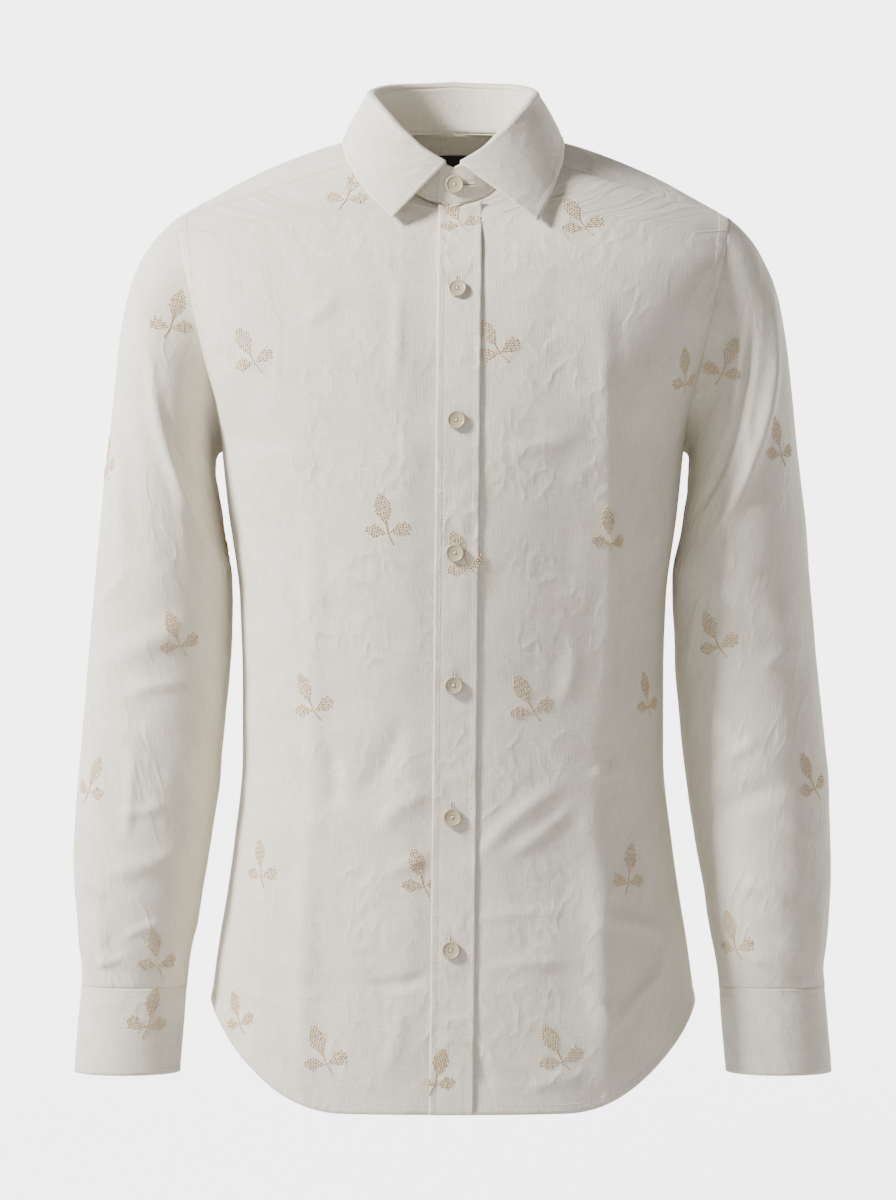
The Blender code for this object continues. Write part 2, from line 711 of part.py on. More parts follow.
def gauntlet_grid(side):
    """The sleeve-slit placket: a strip over the sleeve, up from the cuff."""
    middle = sleeve_ring_values(1.0)
    girth = math.pi * ((middle["outer_x"] - middle["inner_x"]) / 2 + middle["half_depth"])
    half = GAUNTLET_WIDTH / 2 / girth * 360
    top = 1 - GAUNTLET_LENGTH / SLEEVE_LENGTH
    shares = np.append(SLEEVE_ROWS[(SLEEVE_ROWS > top) & (SLEEVE_ROWS < 1)], GAUNTLET_END)
    turns = CUFF_OPENING_TURN + half * np.linspace(-1, 1, GAUNTLET_COLUMNS)
    share, turn = np.meshgrid(shares, turns, indexing="ij")
    points = sleeve_point(turn, share)
    axis = stack(WRIST_MIDDLE[0], WRIST_MIDDLE[1], points[..., 2])
    points = points + outward(points, axis) * (LAYER_GAP + CLOTH)
    return points if side > 0 else mirrored(points)


def centre_row(level):
    """The front's row at this level, from the centre line outwards, for reading by x."""
    across = np.linspace(0, CENTRE_ROW_REACH, CENTRE_ROW_POINTS)
    row = front_point(across, np.full(CENTRE_ROW_POINTS, level))
    return row[row[:, 0] >= 0]


def placket_x(z):
    """The placket's middle line, which leans a little from the neck to the hem."""
    share = (z - NECK_LEVEL) / (FRONT_HEM - NECK_LEVEL)
    return PLACKET_TOP_X + (PLACKET_HEM_X - PLACKET_TOP_X) * share


def front_face(x, level):
    """Points of the fronts' shared surface near the centre line: one row of x for each level."""
    return np.stack([read_row(centre_row(row[0]), places) for places, row in zip(x, level)])


def placket_grid():
    """The placket, on the same levels as the front that it lies on."""
    aside = PLACKET_HALF_WIDTH * np.linspace(-1, 1, PLACKET_COLUMNS)
    lower = UNDERARM_LEVEL + (FRONT_HEM - UNDERARM_LEVEL) * LOWER_ROWS
    level = np.concatenate([lower, FRONT_CHEST_ROWS])[:, None] + aside * 0
    points = front_face(placket_x(level) + aside, level)
    return points + outward(points, np.array(BODY_MIDDLE)) * (PLACKET_GAP + CLOTH)


def stand_grid():
    """The neck band, its free end on top at the wearer's right and the other end pushed in."""
    ends = np.array([-STAND_OVERLAP_TURN, -STAND_INNER_TURN])
    turns = np.concatenate([ends, FALL_TURNS, 360 - ends[::-1]])
    rise, turn = np.meshgrid(np.linspace(0, 1, STAND_ROWS), turns, indexing="ij")
    points = stand_point(turn, rise)
    last = 360 - STAND_OVERLAP_TURN
    under = ease(last - STAND_TUCK[0], last - STAND_TUCK[1], turn) * (DOUBLED_CLOTH + LAYER_GAP)
    return points - ring_normal(turn) * under[..., None]


def fall_grid():
    roll = np.linspace(0, ROLL_SHARE, ROLL_ROWS)
    flat = np.linspace(ROLL_SHARE, 1, FLAT_ROWS)[1:]
    down, turn = np.meshgrid(np.concatenate([roll, flat]), FALL_TURNS, indexing="ij")
    return fall_point(turn, down)


def label_grid():
    """The blank neck label, on the inner face of the yoke at the centre back."""
    share, across = np.meshgrid(LABEL_ROWS, LABEL_COLUMNS, indexing="ij")
    half = yoke_point(across, share)
    both = np.concatenate([mirrored(half)[:, :0:-1], half], axis=1)
    return both - outward(both, np.array(YOKE_MIDDLE)) * (CLOTH + LAYER_GAP)


def material(name, colour, roughness):
    look = bpy.data.materials.new(name)
    look.use_nodes = True
    shader = look.node_tree.nodes["Principled BSDF"]
    shader.inputs["Base Color"].default_value = (*colour, 1.0)
    shader.inputs["Roughness"].default_value = roughness
    look.diffuse_color = (*colour, 1.0)
    return look


def put(name, points, faces, look):
    mesh = bpy.data.meshes.new(name)
    mesh.from_pydata((np.asarray(points) * MM).tolist(), [], np.asarray(faces).tolist())
    mesh.validate()
    mesh.shade_smooth()
    mesh.set_sharp_from_angle(angle=math.radians(50))
    thing = bpy.data.objects.new(name, mesh)
    bpy.context.scene.collection.objects.link(thing)
    thing.data.materials.append(look)
    return thing


# Half section of a button, as shares of its radius and thickness, from its back to its dished face.
BUTTON_SECTION = table("radius height", (0.8, 0), (1, 0.35), (1, 0.75), (0.86, 1), (0.62, 0.72))
STAND_BUTTON_TURN = 1.0
STAND_BUTTON_RISE = 0.55
CUFF_BUTTON_TURN = CUFF_OPENING_TURN - 5
CUFF_BUTTON_FALL = 0.5
PATCH_STEP = 4.0


def button_mesh():
    """A turned disc with a raised rim and a dished middle, its back on z = 0."""
    profile = np.stack(
        [BUTTON_SECTION["radius"] * BUTTON_RADIUS, BUTTON_SECTION["height"] * BUTTON_THICKNESS], -1
    )
    angle = np.arange(BUTTON_SIDES) * 2 * math.pi / BUTTON_SIDES
    rings = [stack(r * np.cos(angle), r * np.sin(angle), h) for r, h in profile]
    points = np.vstack(rings + [[[0, 0, 0]], [[0, 0, profile[-1, 1]]]])
    count = BUTTON_SIDES
    faces = []
    for k in range(count):
        n = (k + 1) % count
        faces.append((len(points) - 2, n, k))
        faces.append((len(points) - 1, (len(profile) - 1) * count + k, (len(profile) - 1) * count + n))
        for ring in range(len(profile) - 1):
            low = ring * count
            faces += [(low + k, low + n, low + count + n), (low + k, low + count + n, low + count + k)]
    return points, faces


def turned_to(points, spot, normal):
    """Button points with their back on a spot and their axis along a normal."""
    side = np.cross((0, 0, 1.0), normal)
    side /= np.linalg.norm(side)
    return spot + points @ np.array([side, np.cross(normal, side), normal])


def buttons():
    """Name, place and normal of each button, and the height of the cloth under it."""
    places = []
    turn = np.array([STAND_BUTTON_TURN])
    here = stand_point(turn, np.array([STAND_BUTTON_RISE]))
    places.append(("button_1", here[0], ring_normal(turn)[0], 0.0))
    step = PATCH_STEP * np.array([-1.0, 0.0, 1.0])
    for k in range(PLACKET_BUTTONS):
        z = FIRST_BUTTON_Z - BUTTON_SPACING * k
        x = placket_x(z) + BUTTON_SHIFT
        patch = front_face(*np.meshgrid(x + step, z + step))
        normal = outward(patch, np.array(BODY_MIDDLE))[1, 1]
        places.append((f"button_{k + 2}", patch[1, 1], normal, CLOTH + PLACKET_GAP))
    turn, fall = np.meshgrid(CUFF_BUTTON_TURN + step, CUFF_BUTTON_FALL + step / CUFF_HEIGHT)
    patch = cuff_point(turn, fall)
    wrist = np.array([WRIST_MIDDLE[0], WRIST_MIDDLE[1], patch[1, 1, 2]])
    normal = outward(patch, wrist)[1, 1]
    places.append(("cuff_button_left", patch[1, 1], normal, 0.0))
    places.append(("cuff_button_right", mirrored(patch[1, 1]), mirrored(normal), 0.0))
    return places


def build():
    for old in list(bpy.data.objects):
        bpy.data.objects.remove(old)
    linen = material("linen", (0.78, 0.74, 0.65), 0.9)
    horn = material("horn", (0.70, 0.66, 0.54), 0.35)
    black = material("label_black", (0.015, 0.015, 0.017), 0.8)
    right_middle = mirrored(SLEEVE_MIDDLE)
    right_wrist = mirrored(WRIST_MIDDLE)
    body = [
        Sheet("front_right", [front_grid(-1)], BODY_MIDDLE, CLOTH, linen),
        Sheet("front_left", [front_grid(1)], BODY_MIDDLE, CLOTH, linen),
        Sheet("back", back_grids(), BODY_MIDDLE, CLOTH, linen),
        Sheet("yoke", yoke_grids(), YOKE_MIDDLE, CLOTH, linen),
        Sheet("sleeve_right", [sleeve_sheet_grid(-1)], right_middle, CLOTH, linen),
        Sheet("sleeve_left", [sleeve_sheet_grid(1)], SLEEVE_MIDDLE, CLOTH, linen),
    ]
    share_seam_normals(body)
    others = [
        Sheet("placket", [placket_grid()], BODY_MIDDLE, CLOTH, linen),
        Sheet("collar_stand", [stand_grid()], NECK_MIDDLE, DOUBLED_CLOTH, linen),
        Sheet("collar_fall", [fall_grid()], NECK_MIDDLE, DOUBLED_CLOTH, linen),
        Sheet("cuff_right", [cuff_grid(-1)], right_wrist, DOUBLED_CLOTH, linen),
        Sheet("cuff_left", [cuff_grid(1)], WRIST_MIDDLE, DOUBLED_CLOTH, linen),
        Sheet("gauntlet_right", [gauntlet_grid(-1)], right_middle, CLOTH, linen),
        Sheet("gauntlet_left", [gauntlet_grid(1)], SLEEVE_MIDDLE, CLOTH, linen),
        Sheet("neck_label", [label_grid()], YOKE_MIDDLE, CLOTH, black),
    ]
    for sheet in body + others:
        put(sheet.name, *wall(sheet), sheet.look)
    disc, faces = button_mesh()
    for name, spot, normal, under in buttons():
        put(name, turned_to(disc, spot + normal * (under + LAYER_GAP), normal), faces, horn)


build()
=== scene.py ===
# Embroidered linen shirt: cloth shells, sewing, buttons and leaf sprigs over the frame of solids.
# Lengths here are in millimetres, in the frame's own axes, and become metres where a mesh is made.
import math

import bmesh
import bpy
import numpy as np
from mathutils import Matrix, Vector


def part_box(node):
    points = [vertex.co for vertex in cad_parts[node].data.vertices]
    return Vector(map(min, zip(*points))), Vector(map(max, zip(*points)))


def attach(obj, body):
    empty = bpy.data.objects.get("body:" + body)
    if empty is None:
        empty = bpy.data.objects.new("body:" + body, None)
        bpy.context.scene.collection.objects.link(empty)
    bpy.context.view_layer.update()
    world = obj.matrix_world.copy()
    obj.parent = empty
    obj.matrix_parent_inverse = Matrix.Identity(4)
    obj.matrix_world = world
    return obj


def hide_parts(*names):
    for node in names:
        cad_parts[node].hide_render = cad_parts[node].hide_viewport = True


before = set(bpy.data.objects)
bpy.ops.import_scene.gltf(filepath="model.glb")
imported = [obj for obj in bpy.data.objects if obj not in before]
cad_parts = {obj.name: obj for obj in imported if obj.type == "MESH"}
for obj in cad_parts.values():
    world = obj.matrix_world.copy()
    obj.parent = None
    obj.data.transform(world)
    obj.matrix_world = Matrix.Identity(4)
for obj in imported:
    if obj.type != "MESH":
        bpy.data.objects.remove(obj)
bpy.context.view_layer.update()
metre = 0.001

# Sizes of the cut, shared by all pieces.
cut = {
    "underarm": -245.0,
    "frontHem": -760.0,
    "backHem": -768.0,
    "sideHem": -682.0,
    "hemCurve": (0.27, 0.97),
    "sectionPower": 2.3,
    "yokeLevel": -85.0,
    "neckHalfWidth": 62.0,
    "neckHalfDepth": 55.0,
    "neckMiddleY": -8.0,
    "shoulderTurn": 65.0,
    "frontOverlap": 10.0,
    "yokeBackShare": 0.3,
    "sleeveLength": 620.0,
    "cuffHeight": 68.0,
    "cloth": 1.0,
    "doubled": 1.4,
    "layerGap": 0.45,
    "seamInset": 0.2,
}


# A table as a dictionary: one array for each named column.
def table(names, *rows):
    return dict(zip(names.split(), np.array(rows, float).T))


# Neck seam height round the ring: turn 0 is the centre front, 180 the centre back.
neckRing = table(
    "turn z standHeight roll",
    (0, -56, 31, 0.45),
    (20, -50, 37, 0.7),
    (34, -41, 41, 0.9),
    (50, -23, 38, 1),
    (68, -8, 36, 1),
    (90, 2, 35, 1),
    (135, 12, 36, 1),
    (180, 15, 37, 1),
)

# One row for each level of the front: its centre line and its side seam, then the armhole.
frontShape = table(
    "level innerY outerX outerY outerZ round",
    (-770, -126, 198, 0, -770, 1),
    (-700, -122, 195, 0, -700, 1),
    (-668, -119, 191, 0, -668, 1),
    (-632, -117, 186, 0, -632, 1),
    (-596, -114, 180, 0, -596, 1),
    (-560, -112, 175, 0, -560, 1),
    (-488, -110, 168, 0, -488, 1),
    (-430, -112, 168, 0, -430, 1),
    (-364, -117, 170, 0, -364, 1),
    (-293, -122, 179, 0, -293, 1),
    (-245, -124, 184, 0, -245, 1),
    (-215, -122, 187, -26, -213, 0.95),
    (-180, -117, 195, -42, -178, 0.9),
    (-140, -108, 203.5, -49, -140, 0.8),
    (-100, -92, 211, -46, -107, 0.65),
    (-55, -63, 216.5, -34, -82, 0.42),
    (-25, -63, 219, -21, -67, 0.22),
    (0, -63, 220, -8, -59, 0),
)

# The same for the back, up to the yoke seam.
backShape = table(
    "level innerY outerX outerY outerZ round",
    (-770, 122, 198, 0, -770, 1),
    (-700, 118, 195, 0, -700, 1),
    (-668, 115, 191, 0, -668, 1),
    (-632, 112, 186, 0, -632, 1),
    (-596, 108, 180, 0, -596, 1),
    (-560, 104, 175, 0, -560, 1),
    (-488, 98, 168, 0, -488, 1),
    (-430, 97, 168, 0, -430, 1),
    (-364, 102, 170, 0, -364, 1),
    (-293, 110, 179, 0, -293, 1),
    (-245, 116, 184, 0, -245, 1),
    (-210, 118, 187, 27, -208, 0.95),
    (-170, 118, 195, 41, -168, 0.88),
    (-125, 111, 205, 45, -126, 0.8),
    (-85, 99, 212, 42, -94, 0.7),
)

# Edges of the yoke by share of the way from the back seam, over the shoulder, to the front seam.
yokeCentre = table(
    "share y z round",
    (0, 99, -85, 0.7),
    (0.1, 91, -50, 0.62),
    (0.2, 74, -15, 0.5),
    (0.3, 47, 15, 0.35),
    (0.6, 47, 15, 0.1),
    (1, 47, 15, 0),
)
yokeArmhole = table(
    "share x y z",
    (0, 212, 42, -94),
    (0.25, 216.5, 34, -76),
    (0.5, 219.5, 21, -64),
    (0.75, 220.5, 7, -58),
    (1, 220, -8, -59),
)

# Rings of the sleeve by share of its length: outermost and innermost point, half depth,
# and how much of the armhole's own outline each keeps.
sleeveRings = table(
    "share outerX outerZ innerX innerZ middleY halfDepth armhole",
    (0, 220, -58, 184, -245, 0, 50, 1),
    (0.04, 231, -68, 187.5, -247.5, 0, 54, 0.85),
    (0.08, 245, -86, 189.3, -253, 0, 57, 0.6),
    (0.13, 257, -113, 188.8, -262, -1, 60, 0.35),
    (0.18, 265, -150, 187, -275, -1, 61, 0.15),
    (0.24, 271, -195, 184.5, -293, -2, 61.5, 0.04),
    (0.31, 276, -245, 180.5, -318, -2, 61, 0),
    (0.39, 282, -305, 175.5, -348, -3, 60, 0),
    (0.47, 287, -365, 177, -388, -3, 58, 0),
    (0.55, 292, -425, 179.5, -434, -4, 57, 0),
    (0.63, 297, -476, 183, -482, -6, 56, 0),
    (0.71, 300, -524, 188.5, -529, -9, 54, 0),
    (0.79, 301, -572, 196.5, -576, -14, 51, 0),
    (0.88, 298, -620, 204, -622, -19, 46, 0),
    (0.95, 294.5, -652, 209.5, -653, -23, 40, 0),
    (1, 295, -669, 211, -669, -24, 36, 0),
)
cuffEnd = {"outerX": 300.0, "innerX": 216.0, "middleY": -30.0, "halfDepth": 34.0}

# Outer edge of the collar fall: turn on the roll line, and where that edge lies.
fallEdge = table(
    "turn x y z",
    (5, 67, -74.5, -67),
    (35, 80, -53.5, -38.5),
    (65, 88, -28, -12),
    (95, 88.5, -2, 2.5),
    (125, 77, 34, 12),
    (155, 45, 61, 12),
    (180, 0, 63, 12),
    (205, -45, 61, 12),
    (235, -77, 34, 12),
    (265, -88.5, -2, 2.5),
    (295, -86, -29, -12.5),
    (325, -72, -55.5, -38.5),
    (355, -48, -75, -65),
)


# Monotone cubic through (keys, values): Hermite pieces whose end slopes are harmonic means.
def smooth(keys, values, at):
    at = np.clip(np.asarray(at, float), keys[0], keys[-1])
    step = np.diff(keys)
    slope = np.diff(values) / step
    tangent = np.concatenate([slope[:1], np.zeros(len(keys) - 2), slope[-1:]])
    product = slope[:-1] * slope[1:]
    sameWay = product > 0
    tangent[1:-1][sameWay] = 2 * product[sameWay] / (slope[:-1] + slope[1:])[sameWay]
    part = np.clip(np.searchsorted(keys, at, side="right") - 1, 0, len(keys) - 2)
    t = (at - keys[part]) / step[part]
    ends = values[part] * (1 + 2 * t) * (1 - t) ** 2 + values[part + 1] * t**2 * (3 - 2 * t)
    return ends + step[part] * (tangent[part] * t * (1 - t) ** 2 - tangent[part + 1] * t**2 * (1 - t))


# 0 below low, 1 above high, 3 t^2 - 2 t^3 between them.
def ease(low, high, at):
    t = np.clip((at - low) / (high - low), 0, 1)
    return t * t * (3 - 2 * t)


# Points from x, y and z, each spread to the shape of the others.
def stack(x, y, z):
    return np.stack(np.broadcast_arrays(x, y, z), axis=-1).astype(float)


# |value| ^ (2 / power) with its sign: a superellipse coordinate of a sine or cosine.
def power(value):
    return np.sign(value) * np.abs(value) ** (2 / cut["sectionPower"])


# The neck seam: an ellipse in plan, at the table's height for this turn, on either side.
def neckPoint(turn):
    angle = np.radians(turn)
    return stack(
        cut["neckHalfWidth"] * np.sin(angle),
        cut["neckMiddleY"] - cut["neckHalfDepth"] * np.cos(angle),
        smooth(neckRing["turn"], neckRing["z"], foldedTurn(turn)),
    )


# A turn of -180 to 540 as its distance from the centre front, 0 to 180.
def foldedTurn(turn):
    return np.abs((np.asarray(turn, float) + 180) % 360 - 180)


edgeTurn = -math.degrees(math.asin(cut["frontOverlap"] / cut["neckHalfWidth"]))
neckLevel = float(neckPoint(edgeTurn)[2])


# Share of the way out along a row: a superellipse quarter mixed with even steps.
def rowWidth(angle, roundness):
    return roundness * power(np.sin(angle)) + (1 - roundness) * angle / (math.pi / 2)


# Share of the way back along a row, the same on both sides of the centre line.
def rowDepth(angle, roundness, bend):
    plain = np.abs(angle / (math.pi / 2)) ** bend
    return roundness * (1 - power(np.cos(angle))) + (1 - roundness) * plain


# The angle where rowWidth reaches a small negative target, by halving the interval.
def startAngle(target, roundness):
    low = np.full(np.shape(target), -0.5)
    high = np.zeros(np.shape(target))
    for _ in range(40):
        middle = (low + high) / 2
        under = rowWidth(middle, roundness) < target
        low = np.where(under, middle, low)
        high = np.where(under, high, middle)
    return high


# A point of a front or back half at x > 0: from the inner edge of its row to the outer one,
# inner + (outer - inner) * rowWidth in x, and the same with rowDepth in y and z.
def panelPoint(shape, across, level, edgeX):
    column = {name: smooth(shape["level"], shape[name], level) for name in shape}
    neckShare = np.clip((level - neckLevel) / -neckLevel, 0, 1)
    roundness = column["round"]
    bend = 2 - neckShare
    start = startAngle(-edgeX * (1 - neckShare) / column["outerX"], roundness)
    angle = start + (math.pi / 2 - start) * across
    firstWidth = rowWidth(start, roundness)
    firstDepth = rowDepth(start, roundness, bend)
    width = (rowWidth(angle, roundness) - firstWidth) / (1 - firstWidth)
    depth = (rowDepth(angle, roundness, bend) - firstDepth) / (1 - firstDepth)
    neck = neckPoint(edgeTurn + (cut["shoulderTurn"] - edgeTurn) * neckShare)
    onNeck = (level > neckLevel) & (shape is frontShape)
    centreY = column["innerY"] + (column["outerY"] - column["innerY"]) * firstDepth
    innerX = np.where(onNeck, neck[..., 0], -edgeX)
    innerY = np.where(onNeck, neck[..., 1], centreY)
    innerZ = np.where(onNeck, neck[..., 2], level)
    return stack(
        innerX + (column["outerX"] - innerX) * width,
        innerY + (column["outerY"] - innerY) * depth,
        innerZ + (column["outerZ"] - innerZ) * depth,
    )


# A point of the yoke at x > 0, from its inner edge to the armhole, by the same rule of rows.
def yokePoint(across, share):
    neckShare = np.clip((share - cut["yokeBackShare"]) / (1 - cut["yokeBackShare"]), 0, 1)
    neck = neckPoint(180 + (cut["shoulderTurn"] - 180) * neckShare)
    onNeck = share >= cut["yokeBackShare"]
    centre = {name: smooth(yokeCentre["share"], yokeCentre[name], share) for name in yokeCentre}
    outer = {name: smooth(yokeArmhole["share"], yokeArmhole[name], share) for name in yokeArmhole}
    innerX = np.where(onNeck, neck[..., 0], 0)
    innerY = np.where(onNeck, neck[..., 1], centre["y"])
    innerZ = np.where(onNeck, neck[..., 2], centre["z"])
    angle = across * math.pi / 2
    width = rowWidth(angle, centre["round"])
    depth = rowDepth(angle, centre["round"], 2 - neckShare)
    return stack(
        innerX + (outer["x"] - innerX) * width,
        innerY + (outer["y"] - innerY) * depth,
        innerZ + (outer["z"] - innerZ) * depth,
    )


# An elliptical ring through its inner and outer points: x and z by (1 - cos turn) / 2, y by sin turn.
def around(turn, ring):
    angle = np.radians(turn)
    share = (1 - np.cos(angle)) / 2
    return stack(
        ring["innerX"] + (ring["outerX"] - ring["innerX"]) * share,
        ring["middleY"] - ring["halfDepth"] * np.sin(angle),
        ring["innerZ"] + (ring["outerZ"] - ring["innerZ"]) * share,
    )


# The sleeve's ring at a share of its length: each column of its table, read by smooth.
def sleeveRing(share):
    return {name: smooth(sleeveRings["share"], sleeveRings[name], share) for name in sleeveRings}


# Rings that go from the armhole's outline to plain ellipses: kept * outline + (1 - kept) * ellipse.
def sleeveRows(armhole, shares):
    steps = np.linalg.norm(np.diff(np.vstack([armhole, armhole[:1]]), axis=0), axis=1)
    turns = 360 * np.concatenate([[0], np.cumsum(steps)[:-1]]) / steps.sum()
    share, turn = np.meshgrid(shares, turns, indexing="ij")
    values = sleeveRing(share)

    def axesOf(at):
        start = stack(at["innerX"], 0, at["innerZ"])
        way = stack(at["outerX"] - at["innerX"], 0, at["outerZ"] - at["innerZ"])
        aside = stack(-way[..., 2], 0, way[..., 0])
        return start, way, aside / np.linalg.norm(aside, axis=-1, keepdims=True)

    start, way, aside = axesOf(sleeveRing(np.zeros(len(armhole))))
    along = np.sum((armhole - start) * way, -1) / np.sum(way * way, -1)
    off = np.sum((armhole - start) * aside, -1)
    start, way, aside = axesOf(values)
    shaped = start + along[None, :, None] * way + off[None, :, None] * aside
    shaped[..., 1] += armhole[None, :, 1]
    kept = values["armhole"][..., None]
    points = kept * shaped + (1 - kept) * around(turn, values)
    return np.concatenate([points, points[:, :1]], axis=1), np.append(turns, 360.0)


# A point of the cuff: the sleeve's last ring carried down to the cuff's own end ring.
def cuffPoint(turn, fall):
    top = sleeveRing(1.0)
    low = dict(top, **cuffEnd)
    low["outerZ"] = low["innerZ"] = top["outerZ"] - cut["cuffHeight"]
    return around(turn, {name: top[name] + (low[name] - top[name]) * fall for name in top})


# Level direction out from the neck: the gradient of its ellipse.
def neckNormal(turn):
    angle = np.radians(turn)
    way = stack(np.sin(angle) / cut["neckHalfWidth"], -np.cos(angle) / cut["neckHalfDepth"], 0)
    return way / np.linalg.norm(way, axis=-1, keepdims=True)


# Value noise: random lattice values mixed by 3 t^2 - 2 t^3 in both directions. With wrap, the
# lattice repeats after that length of u.
def noise(u, v, size, seed, wrap=None):
    countU = 64 if wrap is None else max(3, round(wrap / size[0]))
    stepU = size[0] if wrap is None else wrap / countU
    lattice = np.random.default_rng(seed).uniform(-1, 1, (countU, 64))
    gu = u / stepU
    gv = v / size[1]
    iu = np.floor(gu).astype(int)
    iv = np.floor(gv).astype(int)
    tu = ease(0, 1, gu - iu)
    tv = ease(0, 1, gv - iv)
    low = lattice[iu % countU, iv % 64] * (1 - tu) + lattice[(iu + 1) % countU, iv % 64] * tu
    high = lattice[iu % countU, (iv + 1) % 64] * (1 - tu) + lattice[(iu + 1) % countU, (iv + 1) % 64] * tu
    return low * (1 - tv) + high * tv


# Creases, each a bowed line a -> b: height * (1 + lean * s) * exp(-s^2), where s is the
# signed distance from the line over its width, dying out towards and past both ends.
def creaseHeight(a, b, rows):
    height = np.zeros(np.shape(a))
    for a1, b1, a2, b2, bow, width, tall, lean in rows:
        length = math.hypot(a2 - a1, b2 - b1)
        da, db = (a2 - a1) / length, (b2 - b1) / length
        along = (a - a1) * da + (b - b1) * db
        t = np.clip(along / length, 0, 1)
        past = along - t * length
        s = ((b - b1) * da - (a - a1) * db - bow * 4 * t * (1 - t)) / width
        taper = ease(-0.12, 0.3, t) * ease(-0.12, 0.3, 1 - t)
        height += tall * taper * (1 + lean * s) * np.exp(-(s**2) - (past / width) ** 2)
    return height


# Unit normals of a grid by its two directions, turned away from a place inside.
def gridNormals(points, inside):
    normal = np.cross(np.gradient(points, axis=0), np.gradient(points, axis=1))
    normal /= np.maximum(np.linalg.norm(normal, axis=-1, keepdims=True), 1e-9)
    return normal if np.sum(normal * (points - inside)) > 0 else -normal


# Lengths walked along one direction of a grid, from its first row or column.
def walked(points, axis):
    steps = np.linalg.norm(np.diff(points, axis=axis), axis=-1)
    return np.concatenate([np.zeros_like(np.take(steps, [0], axis)), np.cumsum(steps, axis)], axis)


# Shares from 0 to 1 that stand evenly along a curve.
def evenShares(curve, spacing):
    dense = np.linspace(0, 1, 400)
    length = walked(curve(dense)[None], 1)[0]
    count = max(2, round(length[-1] / spacing) + 1)
    return np.interp(np.linspace(0, length[-1], count), length, dense)


# The same points with x turned to -x.
def mirrored(points):
    return points * np.array([-1.0, 1.0, 1.0])


# One cut piece: its grids of outer points, their normals and places on the cloth in mm.
class Sheet:
    def __init__(self, name, grids, inside, thickness, cloths=None):
        self.name = name
        self.thickness = thickness
        self.inside = np.array(inside, float)
        self.grids = grids
        self.normals = [gridNormals(grid, self.inside) for grid in grids]
        self.cloths = cloths or [clothPlaces(grid) for grid in grids]

    # Moves each grid out along its normals by the heights of that grid.
    def raised(self, *heights):
        for k, height in enumerate(heights):
            self.grids[k] = self.grids[k] + self.normals[k] * np.asarray(height)[..., None]
            self.normals[k] = gridNormals(self.grids[k], self.inside)
        return self


# Places on the flat cloth: u along the rows and v along the columns, in mm.
def clothPlaces(grid):
    return np.stack([walked(grid, 1), walked(grid, 0)], -1)


# Quads of a grid, numbered from first, wound so that they face away from a place inside.
def gridFaces(grid, inside, first):
    rows, columns = grid.shape[:2]
    index = np.arange(rows * columns).reshape(rows, columns)
    quads = np.stack([index[:-1, :-1], index[:-1, 1:], index[1:, 1:], index[1:, :-1]], -1).reshape(-1, 4)
    flat = grid.reshape(-1, 3)
    normal = np.cross(flat[quads[:, 2]] - flat[quads[:, 0]], flat[quads[:, 3]] - flat[quads[:, 1]])
    outwards = np.sum(normal * (flat[quads].mean(1) - inside)) > 0
    return (quads if outwards else quads[:, ::-1]) + first


# A closed wall from a sheet: outer face, inner copy, and a rounded rim along the open edges.
# rim = edge + half the thickness outwards in the cloth - half the thickness along the normal.
def makeWall(sheet, material):
    faces = []
    count = 0
    for grid in sheet.grids:
        faces.append(gridFaces(grid, sheet.inside, count))
        count += grid.shape[0] * grid.shape[1]
    corners = np.vstack(faces)
    loose = np.vstack([grid.reshape(-1, 3) for grid in sheet.grids])
    # Each piece reads its own stretch of the weave's noise, so neighbours don't repeat it.
    places = np.vstack([place.reshape(-1, 2) for place in sheet.cloths])
    places = places + sheet.inside[0] * 9 + len(loose) * 0.37
    _, first, index = np.unique(np.round(loose, 3) + 0.0, axis=0, return_index=True, return_inverse=True)
    points = loose[first]
    quads = index.reshape(-1)[corners]
    corner = points[quads]
    faceNormal = np.cross(corner[:, 2] - corner[:, 0], corner[:, 3] - corner[:, 1])
    normal = np.zeros_like(points)
    np.add.at(normal, quads.ravel(), np.repeat(faceNormal, 4, axis=0))
    normal /= np.maximum(np.linalg.norm(normal, axis=1, keepdims=True), 1e-9)
    edges = np.stack([quads, np.roll(quads, -1, axis=1)], -1).reshape(-1, 2)
    _, back, times = np.unique(np.sort(edges, axis=1), axis=0, return_inverse=True, return_counts=True)
    rimAt = np.flatnonzero(times[back.reshape(-1)] == 1)
    rim = edges[rimAt]
    outwards = np.zeros_like(points)
    away = np.cross(points[rim[:, 1]] - points[rim[:, 0]], faceNormal[rimAt // 4])
    away /= np.linalg.norm(away, axis=1, keepdims=True)
    np.add.at(outwards, rim.ravel(), np.repeat(away, 2, axis=0))
    outwards /= np.maximum(np.linalg.norm(outwards, axis=1, keepdims=True), 1e-9)
    outer = points - outwards * cut["seamInset"]
    inner = outer - normal * sheet.thickness
    edgePoints = np.unique(rim)
    middle = (outer + inner)[edgePoints] / 2 + outwards[edgePoints] * sheet.thickness * 0.3
    total = len(points)
    rimIndex = np.full(total, -1)
    rimIndex[edgePoints] = 2 * total + np.arange(len(edgePoints))
    start, end = rim[:, 0], rim[:, 1]
    upper = np.stack([end, start, rimIndex[start], rimIndex[end]], -1)
    lower = np.stack([rimIndex[end], rimIndex[start], start + total, end + total], -1)
    allFaces = np.vstack([quads, quads[:, ::-1] + total, upper, lower])
    startPlace = places[corners.reshape(-1)[rimAt]]
    endPlace = places[np.roll(corners, -1, axis=1).reshape(-1)[rimAt]]
    rimPlaces = np.stack([endPlace, startPlace, startPlace, endPlace], 1)
    uv = np.vstack([places[corners], places[corners[:, ::-1]], rimPlaces, rimPlaces])
    return makePiece(sheet.name, np.vstack([outer, inner, middle]), allFaces, material, uv)


